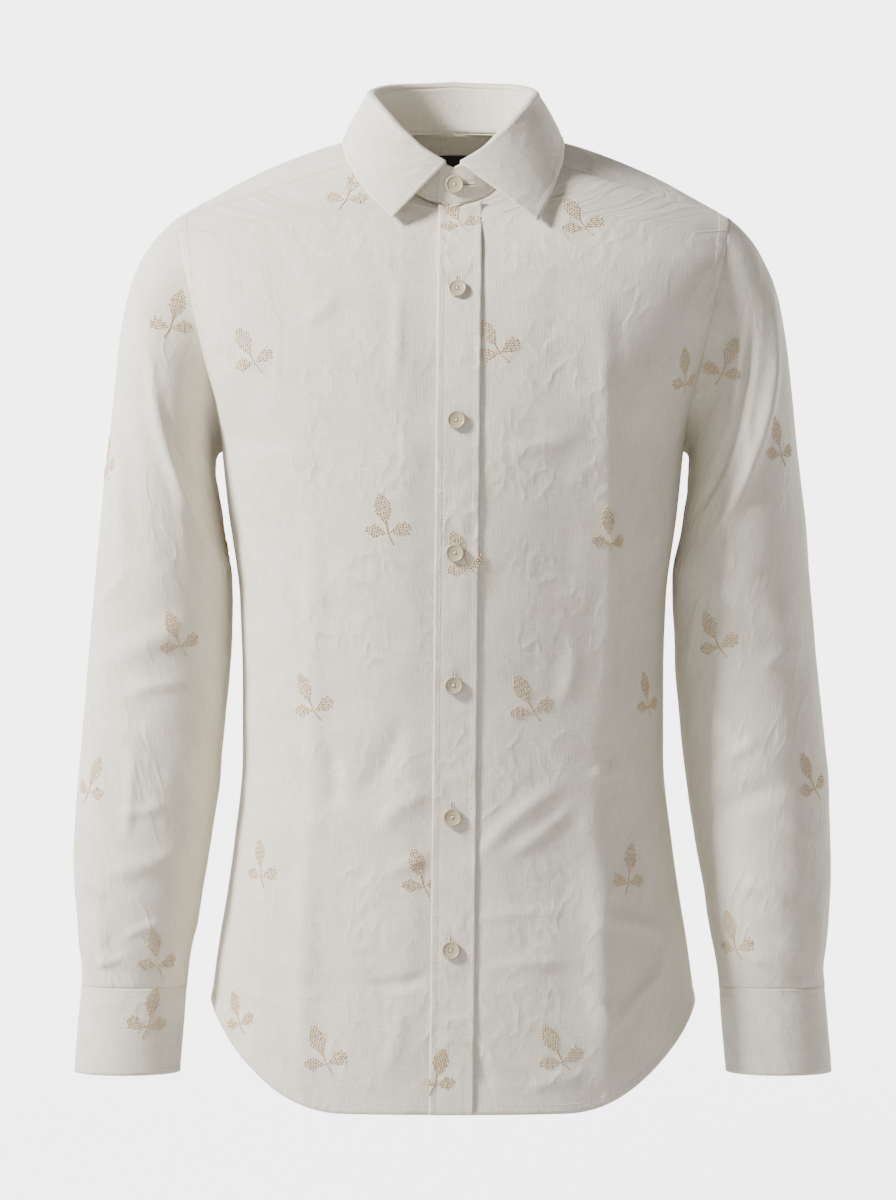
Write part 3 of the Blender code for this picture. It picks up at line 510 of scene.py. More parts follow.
# A mesh object at the origin from points in mm, quads or triangles, and places on the cloth.
def makePiece(name, points, faces, material, places=None):
    mesh = bpy.data.meshes.new(name)
    mesh.vertices.add(len(points))
    mesh.vertices.foreach_set("co", (np.asarray(points) * metre).astype(np.float32).ravel())
    sides = faces.shape[1]
    mesh.loops.add(faces.size)
    mesh.loops.foreach_set("vertex_index", faces.astype(np.int32).ravel())
    mesh.polygons.add(len(faces))
    mesh.polygons.foreach_set("loop_start", np.arange(0, faces.size, sides, dtype=np.int32))
    mesh.update(calc_edges=True)
    if places is not None:
        layer = mesh.uv_layers.new(name="cloth")
        layer.uv.foreach_set("vector", (places * metre).astype(np.float32).ravel())
    mesh.validate()
    mesh.shade_smooth()
    mesh.materials.append(material)
    piece = bpy.data.objects.new(name, mesh)
    bpy.context.scene.collection.objects.link(piece)
    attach(piece, "root")
    return piece


# Creases, as rows of: from a b, to a b, bow, width, height, lean. On the body a is x and b is z, in mm.
body = {
    "middle": (0.0, 0.0, -300.0),
    "spacing": 3.2,
    "rowStep": 3.35,
    "waves": (1.0, 0.6, 0.22),
    "underFrom": 12.0,
    "underTo": 40.0,
    "underGap": 0.9,
    "hemFold": 7.0,
    "bandWidth": 8.0,
}
frontCreases = [
    (-112, -290, -113, -540, 2, 9, 2.2, 0.5),
    (-113, -520, -118, -745, -2, 10, 2.6, 0.5),
    (118, -140, 121, -470, 3, 8, 2.6, -0.7),
    (121, -450, 116, -580, 2, 10, -1.8, 0.3),
    (116, -560, 124, -745, -3, 11, 3.0, -0.7),
    (170, -600, 138, -712, 4, 8, 2.8, 0.6),
    (-150, -320, -118, -440, 5, 10, 1.8, 0.4),
    (150, -340, 126, -450, -6, 10, -2.2, 0.5),
    (117, -150, 122, -752, 2, 24, 4.4, -0.3),
    (-40, -454, -70, -515, 4, 9, -2.2, 0.3),
    (-15, -509, -59, -542, -4, 8, 2.0, 0.4),
    (-96, -480, -94, -526, 2, 7, -2.6, 0.4),
    (-140, -483, -122, -505, 2, 4.5, 1.3, 0.3),
    (-162, -512, -128, -509, 2, 4.5, 1.2, 0.3),
    (-53, -575, -20, -561, -2, 5, 1.7, 0.4),
    (-20, -652, -65, -661, 3, 5, -2.4, 0.4),
    (-41, -674, -51, -728, 1, 4, 1.4, 0.3),
    (-174, -671, -108, -690, 3, 5, 1.2, 0.3),
    (-150, -640, -95, -655, -2, 6, 1.1, 0.2),
    (22, -561, 84, -509, 4, 6, 2.1, 0.4),
    (43, -562, 92, -524, -3, 5, 1.8, 0.4),
    (18, -611, 84, -607, 2, 4.5, 1.3, 0.3),
    (24, -650, 92, -645, 3, 5, 1.5, 0.3),
    (108, -617, 171, -632, 7, 6, 2.0, 0.4),
    (161, -655, 125, -697, -3, 5, 2.7, 0.4),
    (101, -664, 122, -697, 2, 5, 1.9, 0.3),
    (15, -705, 27, -742, 2, 4, -1.9, 0.3),
    (18, -709, 62, -729, -3, 4.5, 1.3, 0.3),
    (56, -740, 100, -733, 2, 4.5, 1.6, 0.3),
    (106, -503, 130, -498, 2, 5, 1.9, 0.3),
    (92, -398, 84, -444, 2, 6, 1.7, 0.3),
    (-43, -121, -46, -200, 1, 4, 1.7, 0.3),
    (-91, -129, -116, -148, 2, 5, 1.4, 0.3),
    (34, -109, 84, -111, 2, 4.5, 1.3, 0.3),
    (-150, -250, -100, -262, 3, 6, 1.3, 0.3),
    (40, -250, 96, -236, -3, 6, 1.3, 0.3),
]
backCreases = [
    (-110, -170, -112, -700, 3, 10, 3.2, 0.4),
    (108, -180, 112, -700, -3, 10, 3.4, -0.4),
    (-60, -380, -130, -470, 6, 11, 2.6, 0.4),
    (40, -420, 135, -500, -7, 11, 2.6, 0.5),
    (-30, -560, -120, -620, 5, 10, 2.3, 0.3),
    (20, -300, 120, -350, 4, 10, 2.3, 0.4),
    (-20, -200, -80, -214, 3, 5, 1.5, 0.3),
    (10, -470, 62, -452, -3, 5, 1.7, 0.3),
    (-84, -520, -48, -556, 3, 5, 1.8, 0.4),
    (30, -610, 96, -634, 4, 6, 1.9, 0.3),
    (-150, -655, -92, -680, -3, 5, 1.7, 0.3),
    (120, -690, 70, -722, 3, 5, 1.6, 0.3),
    (-30, -705, 14, -716, 2, 5, 1.4, 0.3),
    (-140, -300, -96, -322, 3, 6, 1.5, 0.3),
    (80, -230, 134, -250, -3, 6, 1.5, 0.3),
]


# Soft unevenness of worn linen: three sizes of noise, the finest one folded into sharp little ridges.
def worn(u, v, seed, wrap=None):
    large, middle, small = body["waves"]
    ridge = 0.35 - np.abs(noise(u, v, (13, 17), seed + 2, wrap))
    return (
        large * noise(u, v, (55, 80), seed, wrap)
        + middle * noise(u, v, (24, 30), seed + 1, wrap)
        + small * ridge * (1 + noise(u, v, (60, 60), seed + 3, wrap))
    )


# Height of the fronts' relief at x and z: creases plus wear.
def frontRelief(x, z):
    return creaseHeight(x, z, frontCreases) + worn(x + 300, z + 800, 11)


# The same for the back.
def backRelief(x, z):
    return creaseHeight(x, z, backCreases) + worn(x + 300, z + 800, 21)


panelShares = evenShares(lambda s: panelPoint(frontShape, s, np.full(s.shape, -364.0), 0.0), body["spacing"])


# Rows of a panel: from the curved hem to the underarm, then level ones up to its top.
def panelLevels(shares, centreHem, top):
    hem = centreHem + (cut["sideHem"] - centreHem) * ease(*cut["hemCurve"], shares)
    lower = np.linspace(1, 0, round((cut["underarm"] - centreHem) / body["rowStep"]))[:, None]
    upper = np.linspace(cut["underarm"], top, round((top - cut["underarm"]) / body["rowStep"]))[1:]
    return np.vstack([cut["underarm"] + (hem - cut["underarm"]) * lower, upper[:, None] + shares * 0])


# The seam band and the folded hem stand a little proud, with a dip along their line of stitches.
def edgeRelief(toHem, toSide, level):
    hem = body["hemFold"]
    band = body["bandWidth"] * ease(cut["underarm"] - 5, cut["underarm"] + 5, level)
    fold = 0.45 * (1 - ease(hem, hem + 1.5, toHem)) - 0.35 * np.exp(-(((toHem - hem) / 1.3) ** 2))
    seam = 0.5 * (1 - ease(band, band + 1.5, toSide)) - 0.3 * np.exp(-(((toSide - band) / 1.3) ** 2))
    return fold + seam * (band > 1)


# Evens out the bend of a grid across one level: each point moves towards the mean of the points above and
# below it, in many small steps, most at that level and not at all near the neck edge.
def easedRows(points, level, at):
    weight = np.exp(-(((level - at) / 16) ** 2)) * ease(4, 24, walked(points, 1))
    for _ in range(60):
        pull = points[:-2] + points[2:] - 2 * points[1:-1]
        points = points.copy()
        points[1:-1] += 0.25 * weight[1:-1, :, None] * pull
    return points


# One front: panelPoint over shares and levels, eased at the neck, raised by a relief that fades at its edges.
def frontSheet(side):
    level = panelLevels(panelShares, cut["frontHem"], 0.0)
    across = np.broadcast_to(panelShares, level.shape)
    points = panelPoint(frontShape, across, level, cut["frontOverlap"])
    if side < 0:
        points = mirrored(points)
        fromCentre = ease(body["underFrom"], body["underTo"], -points[..., 0])
        under = (cut["cloth"] + body["underGap"]) * (1 - fromCentre)
        points = points - gridNormals(points, body["middle"]) * under[..., None]
    points = easedRows(points, level, neckLevel)
    toHem = walked(points, 0)
    toSide = walked(points[:, ::-1], 1)[:, ::-1]
    relief = frontRelief(points[..., 0], points[..., 2]) * ease(3, 30, toSide)
    relief = relief * (1 - ease(-150, -60, level)) + 0.4 * relief * ease(-150, -60, level)
    relief *= ease(0, 25, -level)
    sheet = Sheet("frontLeft" if side > 0 else "frontRight", [points], body["middle"], cut["cloth"])
    return sheet.raised(relief + edgeRelief(toHem, toSide, level) * ease(0, 6, -level))


# The back: a half and its mirror image joined down the centre line, raised in the same way.
def backSheet():
    level = panelLevels(panelShares, cut["backHem"], cut["yokeLevel"])
    across = np.broadcast_to(panelShares, level.shape)
    half = panelPoint(backShape, across, level, 0.0)
    points = np.concatenate([mirrored(half)[:, :0:-1], half], axis=1)
    levels = np.concatenate([level[:, :0:-1], level], axis=1)
    toHem = walked(points, 0)
    fromLeft = walked(points, 1)
    toSide = np.minimum(fromLeft, fromLeft[:, -1:] - fromLeft)
    relief = backRelief(points[..., 0], points[..., 2]) * ease(3, 30, toSide)
    relief *= 1 - ease(-130, -87, levels)
    sheet = Sheet("back", [points], body["middle"], cut["cloth"])
    return sheet.raised(relief + edgeRelief(toHem, toSide, levels) * (1 - ease(-95, -87, levels)))


yoke = {"middle": (0.0, 0.0, -200.0), "rows": 66, "waves": 0.35}


# The yoke: two mirrored halves by yokePoint, raised by a part of the wear.
def yokeSheet():
    shares = np.linspace(0, 1, yoke["rows"])
    share, across = np.meshgrid(shares, panelShares, indexing="ij")
    half = yokePoint(across, share)
    places = clothPlaces(half)
    relief = yoke["waves"] * worn(places[..., 0], places[..., 1], 31)
    fromSeams = ease(0, 0.15, share) * ease(0, 0.15, 1 - share)
    relief *= fromSeams * ease(0, 0.1, across) * ease(0, 0.1, 1 - across)
    sheet = Sheet("yoke", [half, mirrored(half)], yoke["middle"], cut["cloth"], [places, places * [-1, 1]])
    return sheet.raised(relief, relief)


# The armhole's outline: up the front from the underarm, over the yoke and down the back.
def armholeRing():
    front = panelLevels(np.ones(1), cut["frontHem"], 0.0)[:, 0]
    front = front[front >= cut["underarm"]]
    rear = panelLevels(np.ones(1), cut["backHem"], cut["yokeLevel"])[:, 0]
    rear = rear[rear >= cut["underarm"]]
    up = panelPoint(frontShape, np.ones(len(front)), front, cut["frontOverlap"])
    over = yokePoint(np.ones(30), np.linspace(1, 0, 30))[1:]
    down = panelPoint(backShape, np.ones(len(rear)), rear, 0.0)[::-1][1:]
    ring = np.vstack([up, over, down])
    return ring[:-1] if np.allclose(ring[0], ring[-1]) else ring


# On a sleeve a is the turn in degrees (0 underarm, 90 front, 180 outer side), b the mm down its length.
sleeves = {"middle": (240.0, 0.0, -400.0), "rows": 192, "mmPerTurn": 1.0}
leftSleeveCreases = [
    (152, 85, 66, 215, -6, 11, 5.6, 0.7),
    (120, 72, 44, 170, -4, 9, -4.4, 0.4),
    (60, 248, 150, 310, 5, 11, 3.2, 0.5),
    (50, 360, 120, 409, 4, 10, 2.8, 0.4),
    (40, 446, 110, 422, -4, 9, -2.4, 0.4),
    (100, 120, 96, 190, 2, 6, 1.8, 0.4),
    (70, 232, 104, 262, 3, 5, 1.8, 0.3),
    (96, 330, 142, 318, -3, 5, 1.8, 0.3),
    (52, 402, 92, 380, 3, 5, 1.7, 0.3),
    (100, 452, 148, 470, 3, 5, 1.6, 0.3),
    (60, 500, 104, 522, -3, 6, 1.8, 0.3),
    (92, 556, 130, 574, 2, 5, 1.6, 0.3),
    (48, 566, 84, 584, 2, 5, 1.4, 0.3),
    (200, 186, 300, 223, 6, 13, 2.8, 0.4),
    (210, 310, 310, 360, -6, 12, 2.6, 0.4),
    (220, 434, 320, 409, 5, 11, 2.4, 0.4),
    (140, 520, 150, 595, 0, 9, 1.8, 0.4),
]
rightSleeveCreases = [
    (112, 99, 50, 208, -5, 10, 4.6, 0.7),
    (150, 150, 128, 262, 4, 9, 2.8, 0.5),
    (60, 285, 140, 329, 4, 10, 3.2, 0.4),
    (45, 409, 125, 372, -5, 10, 2.8, 0.4),
    (50, 471, 120, 496, 3, 9, 2.4, 0.4),
    (84, 150, 70, 232, 2, 6, 1.8, 0.4),
    (118, 262, 150, 290, 3, 5, 1.8, 0.3),
    (62, 338, 112, 352, -3, 5, 1.9, 0.3),
    (104, 392, 102, 470, 2, 5, 2.0, 0.4),
    (70, 436, 116, 446, 3, 5, 1.6, 0.3),
    (112, 512, 150, 500, 3, 5, 1.7, 0.3),
    (58, 540, 100, 556, -3, 5, 1.7, 0.3),
    (96, 574, 134, 586, 2, 5, 1.5, 0.3),
    (200, 174, 300, 211, 6, 13, 2.8, 0.4),
    (205, 298, 305, 341, -6, 12, 2.6, 0.4),
    (215, 422, 315, 391, 5, 11, 2.4, 0.4),
    (130, 527, 120, 595, 0, 9, 1.8, 0.4),
]


# A sleeve: rings from armhole to cuff, moved out along their normals by creases plus wear.
def sleeveSheet(side):
    shares = np.linspace(0, 1, sleeves["rows"])
    points, turns = sleeveRows(armholeRing(), shares)
    along, turn = np.meshgrid(shares * cut["sleeveLength"], turns, indexing="ij")
    rows = leftSleeveCreases if side > 0 else rightSleeveCreases
    relief = creaseHeight(turn * sleeves["mmPerTurn"], along, rows)
    relief += worn(turn, along, 41 if side > 0 else 51, 360)
    relief *= ease(8, 60, along) * ease(0, 25, cut["sleeveLength"] - along)
    if side < 0:
        points = mirrored(points)
    places = clothPlaces(points)
    sheet = Sheet(
        "sleeveLeft" if side > 0 else "sleeveRight",
        [points],
        np.array(sleeves["middle"]) * (side, 1, 1),
        cut["cloth"],
        [places],
    )
    middle = points[:, :-1].mean(1, keepdims=True)
    sheet.normals = [tubeNormals(points, middle)]
    sheet.grids = [points + sheet.normals[0] * relief[..., None]]
    sheet.normals = [tubeNormals(sheet.grids[0], middle)]
    return sheet


# Normals of a tube whose last column repeats its first, turned away from its middle line.
def tubeNormals(points, middle):
    wide = np.concatenate([points[:, -2:-1], points, points[:, 1:2]], axis=1)
    normal = np.cross(np.gradient(wide, axis=0), np.gradient(wide, axis=1))[:, 1:-1]
    normal /= np.linalg.norm(normal, axis=-1, keepdims=True)
    return normal if np.sum(normal * (points - middle)) > 0 else -normal


cuffs = {
    "overlap": 26.0,
    "opening": 245.0,
    "columns": 130,
    "rows": 26,
    "waves": 0.45,
    "gauntlet": (150.0, 24.0),
}


# A band once round the wrist, its ends overlapped, the lower end pushed in.
def cuffSheet(side):
    half = cuffs["overlap"] / 2
    turns = np.linspace(cuffs["opening"] - half, cuffs["opening"] + half + 360, cuffs["columns"])
    fall, turn = np.meshgrid(np.linspace(0, 1, cuffs["rows"]), turns, indexing="ij")
    points = cuffPoint(turn, fall)
    under = 1 - ease(cuffs["opening"] + half + 4, cuffs["opening"] + half + 30, turn)
    middle = np.mean(points, axis=1, keepdims=True)
    push = under * (cut["doubled"] + cut["layerGap"])
    points = points - gridNormals(points, middle) * push[..., None]
    points = points if side > 0 else mirrored(points)
    places = clothPlaces(points)
    middle = np.array([255.0 * side, -28, -700])
    sheet = Sheet("cuffLeft" if side > 0 else "cuffRight", [points], middle, cut["doubled"], [places])
    relief = cuffs["waves"] * worn(turn, fall * cut["cuffHeight"], 61 + side, 360)
    edge = np.minimum(fall, 1 - fall) * cut["cuffHeight"]
    relief = relief * ease(0, 8, edge) - 0.3 * np.exp(-(((edge - 5) / 1.3) ** 2))
    return sheet.raised(relief)


# The sleeve-slit placket: a strip over the sleeve, up from the cuff.
def gauntletSheet(side):
    length, width = cuffs["gauntlet"]
    ring = sleeveRing(1.0)
    girth = math.pi * ((ring["outerX"] - ring["innerX"]) / 2 + ring["halfDepth"])
    half = width / 2 / girth * 360
    shares = np.linspace(1 - length / cut["sleeveLength"], 0.995, 56)
    share, turn = np.meshgrid(shares, cuffs["opening"] + half * np.linspace(-1, 1, 12), indexing="ij")
    points = around(turn, sleeveRing(share))
    rows = leftSleeveCreases if side > 0 else rightSleeveCreases
    along = share * cut["sleeveLength"]
    relief = creaseHeight(turn * sleeves["mmPerTurn"], along, rows)
    relief += worn(turn, along, 41 if side > 0 else 51, 360)
    relief *= ease(0, 25, cut["sleeveLength"] - along)
    points = points if side > 0 else mirrored(points)
    axis = stack(points[..., 0] * 0 + 250 * side, -20, points[..., 2])
    sheet = Sheet("gauntletLeft" if side > 0 else "gauntletRight", [points], axis, cut["cloth"])
    sheet.raised(relief + cut["layerGap"] + cut["cloth"])
    sheet.inside = np.array([250.0 * side, -20, -600])
    return sheet


placketCut = {"halfWidth": 17.0, "gap": 0.6, "topX": 5.5, "hemX": -1.5, "columns": 20, "below": 0.8}


def placketX(z):
    share = (z - neckLevel) / (cut["frontHem"] - neckLevel)
    return placketCut["topX"] + (placketCut["hemX"] - placketCut["topX"]) * share


# The fronts' shared surface near the centre line, read by x on each level.
def frontFace(x, level):
    across = np.linspace(0, 0.4, 120)
    rows = panelPoint(frontShape, across[None], level[:, :1] + across * 0, cut["frontOverlap"])
    side = np.abs(x)
    y = np.stack([np.interp(s, row[:, 0], row[:, 1]) for s, row in zip(side, rows)])
    z = np.stack([np.interp(s, row[:, 0], row[:, 2]) for s, row in zip(side, rows)])
    return stack(x, y, z)


# The placket strip, on the same levels as the front under it.
def placketSheet():
    aside = placketCut["halfWidth"] * np.linspace(-1, 1, placketCut["columns"])
    turns = np.degrees(np.arcsin((placketCut["topX"] + aside) / cut["neckHalfWidth"]))
    top = neckPoint(turns)[:, 2] - placketCut["below"]
    shares = np.linspace(0, 1, round((neckLevel - cut["frontHem"]) / body["rowStep"]))[:, None]
    levels = cut["frontHem"] + (top - cut["frontHem"]) * shares
    x = placketX(levels) + aside
    read = np.minimum(levels.mean(1, keepdims=True), neckLevel - 1) + aside * 0
    points = frontFace(x, read)
    slope = (points - frontFace(x, read - 5)) / 5
    points = points + slope * (levels - read)[..., None]
    relief = frontRelief(points[..., 0], points[..., 2]) * (1 - 0.6 * ease(-150, -60, levels))
    edge = placketCut["halfWidth"] - np.abs(aside)
    stitched = -0.3 * np.exp(-(((edge - 4.4) / 1.2) ** 2)) + 0.25 * (1 - ease(3.5, 5, edge))
    stitched = stitched + 0.3 * noise(x + 90, levels + 800, (11, 8), 81) * ease(0, 3, edge)
    sheet = Sheet("placket", [points], body["middle"], cut["cloth"])
    return sheet.raised(relief + placketCut["gap"] + cut["cloth"] + stitched)


collar = {
    "overlapTurn": 11.0,
    "frontTurn": 5.0,
    "lift": 0.9,
    "rollRadius": 4.6,
    "rollShare": 0.25,
    "bulge": 3.0,
    "middle": (0.0, -8.0, 20.0),
    "stitchInset": 5.0,
}


# A point of the stand's outer face at this share of its height.
def standPoint(turn, rise):
    height = smooth(neckRing["turn"], neckRing["standHeight"], foldedTurn(turn))
    point = neckPoint(turn)
    point[..., 2] += collar["lift"] + (height - collar["lift"]) * rise
    return point


# The fall's visible face: a half circle over the roll, then a quadratic curve down to the outer edge.
def fallPoint(turn, down):
    radius = (collar["rollRadius"] * smooth(neckRing["turn"], neckRing["roll"], foldedTurn(turn)))[..., None]
    out = neckNormal(turn)
    start = standPoint(turn, 1.0) - out * cut["doubled"]
    start[..., 2] += cut["layerGap"]
    bend = (np.clip(down / collar["rollShare"], 0, 1) * math.pi)[..., None]
    up = np.array([0.0, 0.0, 1.0])
    rolled = start + out * radius * (1 - np.cos(bend)) + up * radius * np.sin(bend)
    edge = stack(*(smooth(fallEdge["turn"], fallEdge[name], turn) for name in "xyz"))
    top = start + out * radius * 2
    share = np.clip((down - collar["rollShare"]) / (1 - collar["rollShare"]), 0, 1)[..., None]
    middle = (top + edge) / 2 + out * collar["bulge"]
    flat = (1 - share) ** 2 * top + 2 * share * (1 - share) * middle + share**2 * edge
    return np.where(down[..., None] < collar["rollShare"], rolled, flat)


# The neck band, its free end on top at the wearer's right, the other end pushed in.
def standSheet():
    turns = np.linspace(-collar["overlapTurn"], 360 + collar["overlapTurn"], 170)
    rise, turn = np.meshgrid(np.linspace(0, 1, 14), turns, indexing="ij")
    points = standPoint(turn, rise)
    last = 360 - collar["overlapTurn"]
    under = ease(last - 24, last - 3, turn) * (cut["doubled"] + cut["layerGap"])
    points = points - neckNormal(turn) * under[..., None]
    return Sheet("collarStand", [points], collar["middle"], cut["doubled"])


# The collar's fall: fallPoint over its turns, with a stitched edge, and wear past the roll.
def fallSheet():
    share = collar["rollShare"]
    downs = np.concatenate([np.linspace(0, share, 12), np.linspace(share, 1, 24)[1:]])
    turns = np.linspace(collar["frontTurn"], 360 - collar["frontTurn"], 190)
    down, turn = np.meshgrid(downs, turns, indexing="ij")
    points = fallPoint(turn, down)
    sheet = Sheet("collarFall", [points], collar["middle"], cut["doubled"])
    ends = walked(points, 1)
    toEdge = walked(points[::-1], 0)[::-1]
    toEdge = np.minimum(toEdge, np.minimum(ends, ends[:, -1:] - ends))
    inset = collar["stitchInset"]
    stitched = -0.3 * np.exp(-(((toEdge - inset) / 1.2) ** 2)) + 0.25 * (1 - ease(inset - 1, inset, toEdge))
    soft = 0.6 * worn(turn * 1.3, down * 60, 71) * ease(share, share + 0.2, down)
    return sheet.raised(stitched * ease(share, share + 0.05, down) + soft)


label = {"shares": (0.172, 0.238), "halfWidth": 24.0}


# The blank strip inside the back neck, under the yoke's inner face.
def labelSheet():
    rows = np.linspace(*label["shares"], 8)
    dense = np.linspace(0, 0.3, 60)
    grids = []
    for row in rows:
        line = yokePoint(dense, np.full(60, row))
        across = np.interp(np.linspace(0, label["halfWidth"], 12), line[:, 0], dense)
        grids.append(yokePoint(across, np.full(12, row)))
    half = np.array(grids)
    points = np.concatenate([mirrored(half)[:, :0:-1], half], axis=1)
    sheet = Sheet("neckLabel", [points], yoke["middle"], 0.8)
    return sheet.raised(-np.full(points.shape[:2], cut["cloth"] + cut["layerGap"]))


# A socket of a material's node tree with plain arithmetic on it.
class Value:
    tree = None

    def __init__(self, socket):
        self.socket = socket

    # A new node: its type, its settings, then its inputs by name or number. Gives its first output.
    @classmethod
    def node(cls, kind, settings=None, inputs=None, output=0):
        made = cls.tree.nodes.new("ShaderNode" + kind)
        for name, value in (settings or {}).items():
            setattr(made, name, value)
        for name, value in (inputs or {}).items():
            if isinstance(value, Value):
                cls.tree.links.new(value.socket, made.inputs[name])
            else:
                made.inputs[name].default_value = value
        return Value(made.outputs[output])

    def maths(self, operation, *others, turned=False):
        parts = [self, *others]
        if turned:
            parts.reverse()
        return Value.node("Math", {"operation": operation}, dict(enumerate(parts)))

    def __add__(self, other):
        return self.maths("ADD", other)

    def __sub__(self, other):
        return self.maths("SUBTRACT", other)

    def __mul__(self, other):
        return self.maths("MULTIPLY", other)

    def __rsub__(self, other):
        return self.maths("SUBTRACT", other, turned=True)

    __radd__ = __add__
    __rmul__ = __mul__

    # 0 to 1 between two levels.
    def step(self, low, high):
        return Value.node("MapRange", {"clamp": True}, {0: self, 1: low, 2: high})

    # A colour between two others by this value.
    def mix(self, first, second):
        sockets = {0: self, 6: first, 7: second}
        return Value.node("Mix", {"data_type": "RGBA"}, sockets, output=2)


# A new material, its tree ready for Value, and its Principled shader.
def startMaterial(name):
    material = bpy.data.materials.new(name)
    material.use_nodes = True
    Value.tree = material.node_tree
    return material, material.node_tree.nodes["Principled BSDF"]


# Sets inputs of a shader, a space in a name written as an underscore, to values or links.
def setShader(shader, **values):
    for name, value in values.items():
        socket = shader.inputs[name.replace("_", " ")]
        if isinstance(value, Value):
            Value.tree.links.new(value.socket, socket)
        else:
            socket.default_value = value


# Noise on the cloth, stretched: size across and along one set of threads, in metres.
def threads(place, size, detail=2.0):
    scaled = Value.node("VectorMath", {"operation": "DIVIDE"}, {0: place, 1: (*size, 1.0)})
    settings = {"Vector": scaled, "Scale": 1.0, "Detail": detail, "Roughness": 0.55}
    return Value.node("TexNoise", {}, settings)


linen = {
    "light": (0.80, 0.75, 0.64, 1.0),
    "dark": (0.58, 0.515, 0.395, 1.0),
    "crinkle": (0.022, 0.03),
    "crinkleHeight": 0.00055,
    "calm": (0.05, 0.06),
    "slub": (0.0009, 0.022),
    "fine": (0.0006, 0.006),
    "patch": (0.03, 0.03),
    "bump": 0.0004,
    "roughness": 0.92,
    "sheen": 0.12,
}


# Linen: two sets of uneven threads, warp along v and weft along u, that tint and raise the cloth.
def makeLinen(name):
    material, shader = startMaterial(name)
    place = Value.node("UVMap", {"uv_map": "cloth"})
    across, along = linen["slub"]
    warp = threads(place, (across, along))
    weft = threads(place, (along, across))
    across, along = linen["fine"]
    fineWarp = threads(place, (across, along), 1.0)
    fineWeft = threads(place, (along, across), 1.0)
    patch = threads(place, linen["patch"])
    height = (warp + weft) * 0.6 + (fineWarp + fineWeft) * 0.4
    tone = (height * 0.7 + patch * 0.3).step(0.55, 1.05)
    weave = Value.node("Bump", {}, {"Height": height, "Distance": linen["bump"], "Strength": 1.0})
    # Small creases: sharp ridges where a slow noise crosses its middle, in groups with calm cloth between.
    field = threads(place, linen["crinkle"], 1.5)
    ridge = 1.0 - (field - 0.5).maths("ABSOLUTE").step(0.0, 0.11)
    grouped = ridge * threads(place, linen["calm"], 1.0).step(0.4, 0.62)
    inputs = {"Height": grouped, "Distance": linen["crinkleHeight"], "Strength": 1.0, "Normal": weave}
    setShader(
        shader,
        Base_Color=tone.mix(linen["dark"], linen["light"]),
        Normal=Value.node("Bump", {}, inputs),
        Roughness=linen["roughness"],
        Sheen_Weight=linen["sheen"],
    )
    return material


# Embroidery thread: painted shade, dark where a stitch meets the cloth, and a painted highlight, light along
# its crest.
def makeSilk(name):
    material, shader = startMaterial(name)
    paintedHighlight = Value.node("Attribute", {"attribute_name": "paintedHighlight"}, output=2)
    tone = paintedHighlight.step(0.0, 0.7)
    setShader(shader, Base_Color=tone.mix(sprig["dark"], sprig["light"]), Roughness=sprig["roughness"])
    return material


stage = {
    "floor": -1.12,
    "top": 2.6,
    "radius": 6.5,
    "curve": 0.9,
    "sides": 72,
    "glow": (0.9, 1.7),
    "near": (0.07, 0.07, 0.07, 1.0),
    "far": (1.0, 1.0, 0.995, 1.0),
    "paper": (0.4, 0.4, 0.4, 1.0),
    "strength": 3.9,
}


# Pale paper that glows behind the shirt and hardly around it.
def makeBackdrop(name):
    material, shader = startMaterial(name)
    place = Value.node("TexCoord", output=3)
    back = Value.node("SeparateXYZ", {}, {0: place}, output=1)
    setShader(
        shader,
        Base_Color=stage["paper"],
        Roughness=0.9,
        Emission_Color=back.step(*stage["glow"]).mix(stage["near"], stage["far"]),
        Emission_Strength=stage["strength"],
    )
    return material


# A material of one colour and one roughness.
def plainMaterial(name, colour, roughness, **more):
    material, shader = startMaterial(name)
    setShader(shader, Base_Color=(*colour, 1.0), Roughness=roughness, **more)
    return material


# Stitches as one mesh. Each is a low arch: centre + along * x + side * y + normal * z over a small template
# of three rings of four points and two tips.
archX = np.array([-0.72] * 4 + [0.0] * 4 + [0.72] * 4 + [-1.0, 1.0])
archY = np.array([-1.0, 0.0, 1.0, 0.0] * 3 + [0.0, 0.0])
archZ = np.array([0.0, 0.8, 0.0, -0.4, 0.05, 1.0, 0.05, -0.4, 0.0, 0.8, 0.0, -0.4, -0.3, -0.3])


# Triangles of that template: a fan at each tip and two bands of split quads between the rings.
def archFaces():
    faces = []
    for k in range(4):
        n = (k + 1) % 4
        faces += [(12, n, k), (13, 8 + k, 8 + n)]
        for ring in (0, 4):
            faces += [(ring + k, ring + n, ring + 4 + n), (ring + k, ring + 4 + n, ring + 4 + k)]
    return np.array(faces)


# One mesh of all stitches in some runs, with each point marked where it lies on a crest, where the silk
# material paints its highlight.
def stitchMesh(name, runs, size, material):
    centres, along, normals, lengths = (np.concatenate([run[k] for run in runs]) for k in range(4))
    side = np.cross(normals, along)
    side /= np.linalg.norm(side, axis=1, keepdims=True)
    along = np.cross(side, normals)
    points = (
        centres[:, None]
        + along[:, None] * (archX[None, :, None] * lengths[:, None, None] / 2)
        + side[:, None] * (archY[:, None] * size[0] / 2)
        + normals[:, None] * (archZ[:, None] * size[1])
    )
    faces = archFaces()[None] + (np.arange(len(centres)) * len(archX))[:, None, None]
    piece = makePiece(name, points.reshape(-1, 3), faces.reshape(-1, 3), material)
    # 1 on a stitch's crest: the weight of the silk's painted highlight.
    tone = piece.data.attributes.new("paintedHighlight", "FLOAT", "POINT")
    tone.data.foreach_set("value", np.tile(archZ > 0.5, len(centres)).astype(np.float32))
    return piece


